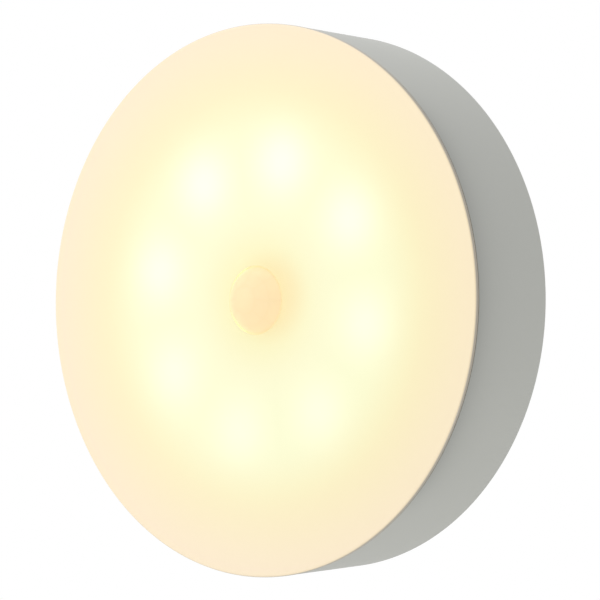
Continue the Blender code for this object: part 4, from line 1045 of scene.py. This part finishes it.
class NIGHTLIGHT_OT_magnet(bpy.types.Operator):
    """Make the disc magnet in the back, finely round with a rounded edge"""

    bl_idname = "night_light.magnet"
    bl_label = "Magnet"

    def execute(self, context):
        radius = MAGNET_HIGH.x
        thickness = -MAGNET_LOW.y
        edge = MAGNET_EDGE
        profile = [(0, thickness)]
        profile += arc(radius - edge, thickness - edge, edge, 90, 0, MAGNET_EDGE_POINTS)
        profile += arc(radius - edge, edge, edge, 0, -90, MAGNET_EDGE_POINTS)
        profile += [(0, 0)]
        bm = turned(profile)
        # Bright nickel on a sintered magnet is mirror-like with a faint cloudy skin
        nickel = metal_finish(
            "nickel_plate", "B9B5AC", "C6C3BB", 0.6 * MM, 0.001 * MM, (0.20, 0.30)
        )
        finish_piece("back_magnet", bm, nickel, "lamp", ["magnet_disc"])
        return {"FINISHED"}


class NIGHTLIGHT_OT_electronics(bpy.types.Operator):
    """Finish the circuit board, its LEDs and its small parts"""

    bl_idname = "night_light.electronics"
    bl_label = "Board and LEDs"

    def execute(self, context):
        # White solder mask is a bright enamel, slightly uneven over the board's glass weave
        mask = plain_finish(
            "white_solder_mask", "E2E4DE", "ECEDE9", 0.5 * MM, 0.002 * MM, (0.3, 0.36), EPOXY_IOR
        )
        dress(mask, "led_board")
        cup = plain_finish(
            "white_polyamide_cup", "E8E6DC", "F0EEE6", 0.2 * MM, 0.001 * MM, (0.4, 0.5)
        )
        dress(cup, *numbered("led_package"))
        phosphor, tree, shader = new_material("yellow_phosphor_silicone")
        add_grain(
            tree, shader, linear("E9B53A"), linear("F4CB55"), 0.1 * MM, 0.002 * MM, (0.3, 0.4)
        )
        shader.inputs["Emission Color"].default_value = (*linear("FFE2A8"), 1)
        shader.inputs["Emission Strength"].default_value = PHOSPHOR_GLOW
        dress(phosphor, *numbered("led_phosphor"))
        # Black epoxy moulding compound is matt, with a grain of silica
        epoxy = plain_finish(
            "black_epoxy", "19191A", "232325", 0.15 * MM, 0.004 * MM, (0.5, 0.62), EPOXY_IOR
        )
        dress(epoxy, "led_transistor", "control_chip", "charge_chip", "capacitor_base")
        pale = plain_finish(
            "fired_ceramic", "D2CCBF", "DED8CB", 0.2 * MM, 0.002 * MM, (0.55, 0.65), CERAMIC_IOR
        )
        dress(pale, "sensor_element", *numbered("chip_resistor"))
        # Zinc-plated screws and the capacitor's aluminium can: bright with a slight haze
        zinc = metal_finish(
            "bright_zinc_plate", "B2B6B8", "C4C8CA", 0.3 * MM, 0.001 * MM, (0.22, 0.34)
        )
        dress(zinc, "capacitor_can", *numbered("board_screw"))
        return {"FINISHED"}


class NIGHTLIGHT_OT_battery(bpy.types.Operator):
    """Finish the battery, its guard board, tape and leads"""

    bl_idname = "night_light.battery"
    bl_label = "Battery"

    def execute(self, context):
        # Laminated foil: nylon over aluminium, softly mirror-like and slightly crumpled
        foil = metal_finish(
            "laminated_foil", "B4B8BC", "C6CACE", 4 * MM, 0.05 * MM, (0.28, 0.42), share=0.9
        )
        dress(foil, "battery_cell")
        green = plain_finish(
            "green_solder_mask", "14532A", "1C6435", 0.5 * MM, 0.002 * MM, (0.3, 0.4), EPOXY_IOR
        )
        dress(green, "battery_guard_board")
        foam = plain_finish(
            "grey_foam_tape", "3A3A3C", "505052", 0.3 * MM, 0.05 * MM, (0.85, 0.95)
        )
        dress(foam, "battery_tape")
        # Soft PVC insulation: smooth with a low wet gloss
        red = plain_finish(
            "red_pvc", "A81518", "B81E20", 0.5 * MM, 0.001 * MM, (0.34, 0.42), PVC_IOR
        )
        dress(red, "battery_lead_red")
        black = plain_finish(
            "black_pvc", "1A1A1A", "242424", 0.5 * MM, 0.001 * MM, (0.34, 0.42), PVC_IOR
        )
        dress(black, "battery_lead_black")
        return {"FINISHED"}


BUILD_STEPS = (
    NIGHTLIGHT_OT_stage,
    NIGHTLIGHT_OT_housing,
    NIGHTLIGHT_OT_face,
    NIGHTLIGHT_OT_dome,
    NIGHTLIGHT_OT_sensor,
    NIGHTLIGHT_OT_switch,
    NIGHTLIGHT_OT_charging,
    NIGHTLIGHT_OT_magnet,
    NIGHTLIGHT_OT_electronics,
    NIGHTLIGHT_OT_battery,
)


class NIGHTLIGHT_PT_panel(bpy.types.Panel):
    """Sizes, colours and building steps of the night light"""

    bl_idname = "NIGHTLIGHT_PT_panel"
    bl_label = "Night Light"
    bl_space_type = "VIEW_3D"
    bl_region_type = "UI"
    bl_category = "Night Light"

    def draw(self, context):
        for group in settings():
            for name in group.bl_rna.properties.keys():
                if name not in ("rna_type", "name"):
                    self.layout.prop(group, name)
        for step in BUILD_STEPS:
            self.layout.operator(step.bl_idname)


CLASSES = (NightLightSizes, NightLightColours, *BUILD_STEPS, NIGHTLIGHT_PT_panel)


def register():
    for item in CLASSES:
        bpy.utils.register_class(item)
    bpy.types.Scene.night_light_sizes = PointerProperty(type=NightLightSizes)
    bpy.types.Scene.night_light_colours = PointerProperty(type=NightLightColours)


def unregister():
    del bpy.types.Scene.night_light_colours
    del bpy.types.Scene.night_light_sizes
    for item in reversed(CLASSES):
        bpy.utils.unregister_class(item)


def main():
    """Builds everything in order."""
    register()
    strays = [
        thing
        for thing in bpy.data.objects
        if thing.type in ("CAMERA", "LIGHT") and "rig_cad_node" not in thing
    ]
    for stray in strays:
        bpy.data.objects.remove(stray)
    bpy.ops.night_light.stage()
    bpy.ops.night_light.housing()
    bpy.ops.night_light.face()
    bpy.ops.night_light.dome()
    bpy.ops.night_light.sensor()
    bpy.ops.night_light.switch()
    bpy.ops.night_light.charging()
    bpy.ops.night_light.magnet()
    bpy.ops.night_light.electronics()
    bpy.ops.night_light.battery()


if __name__ == "__main__":
    main()
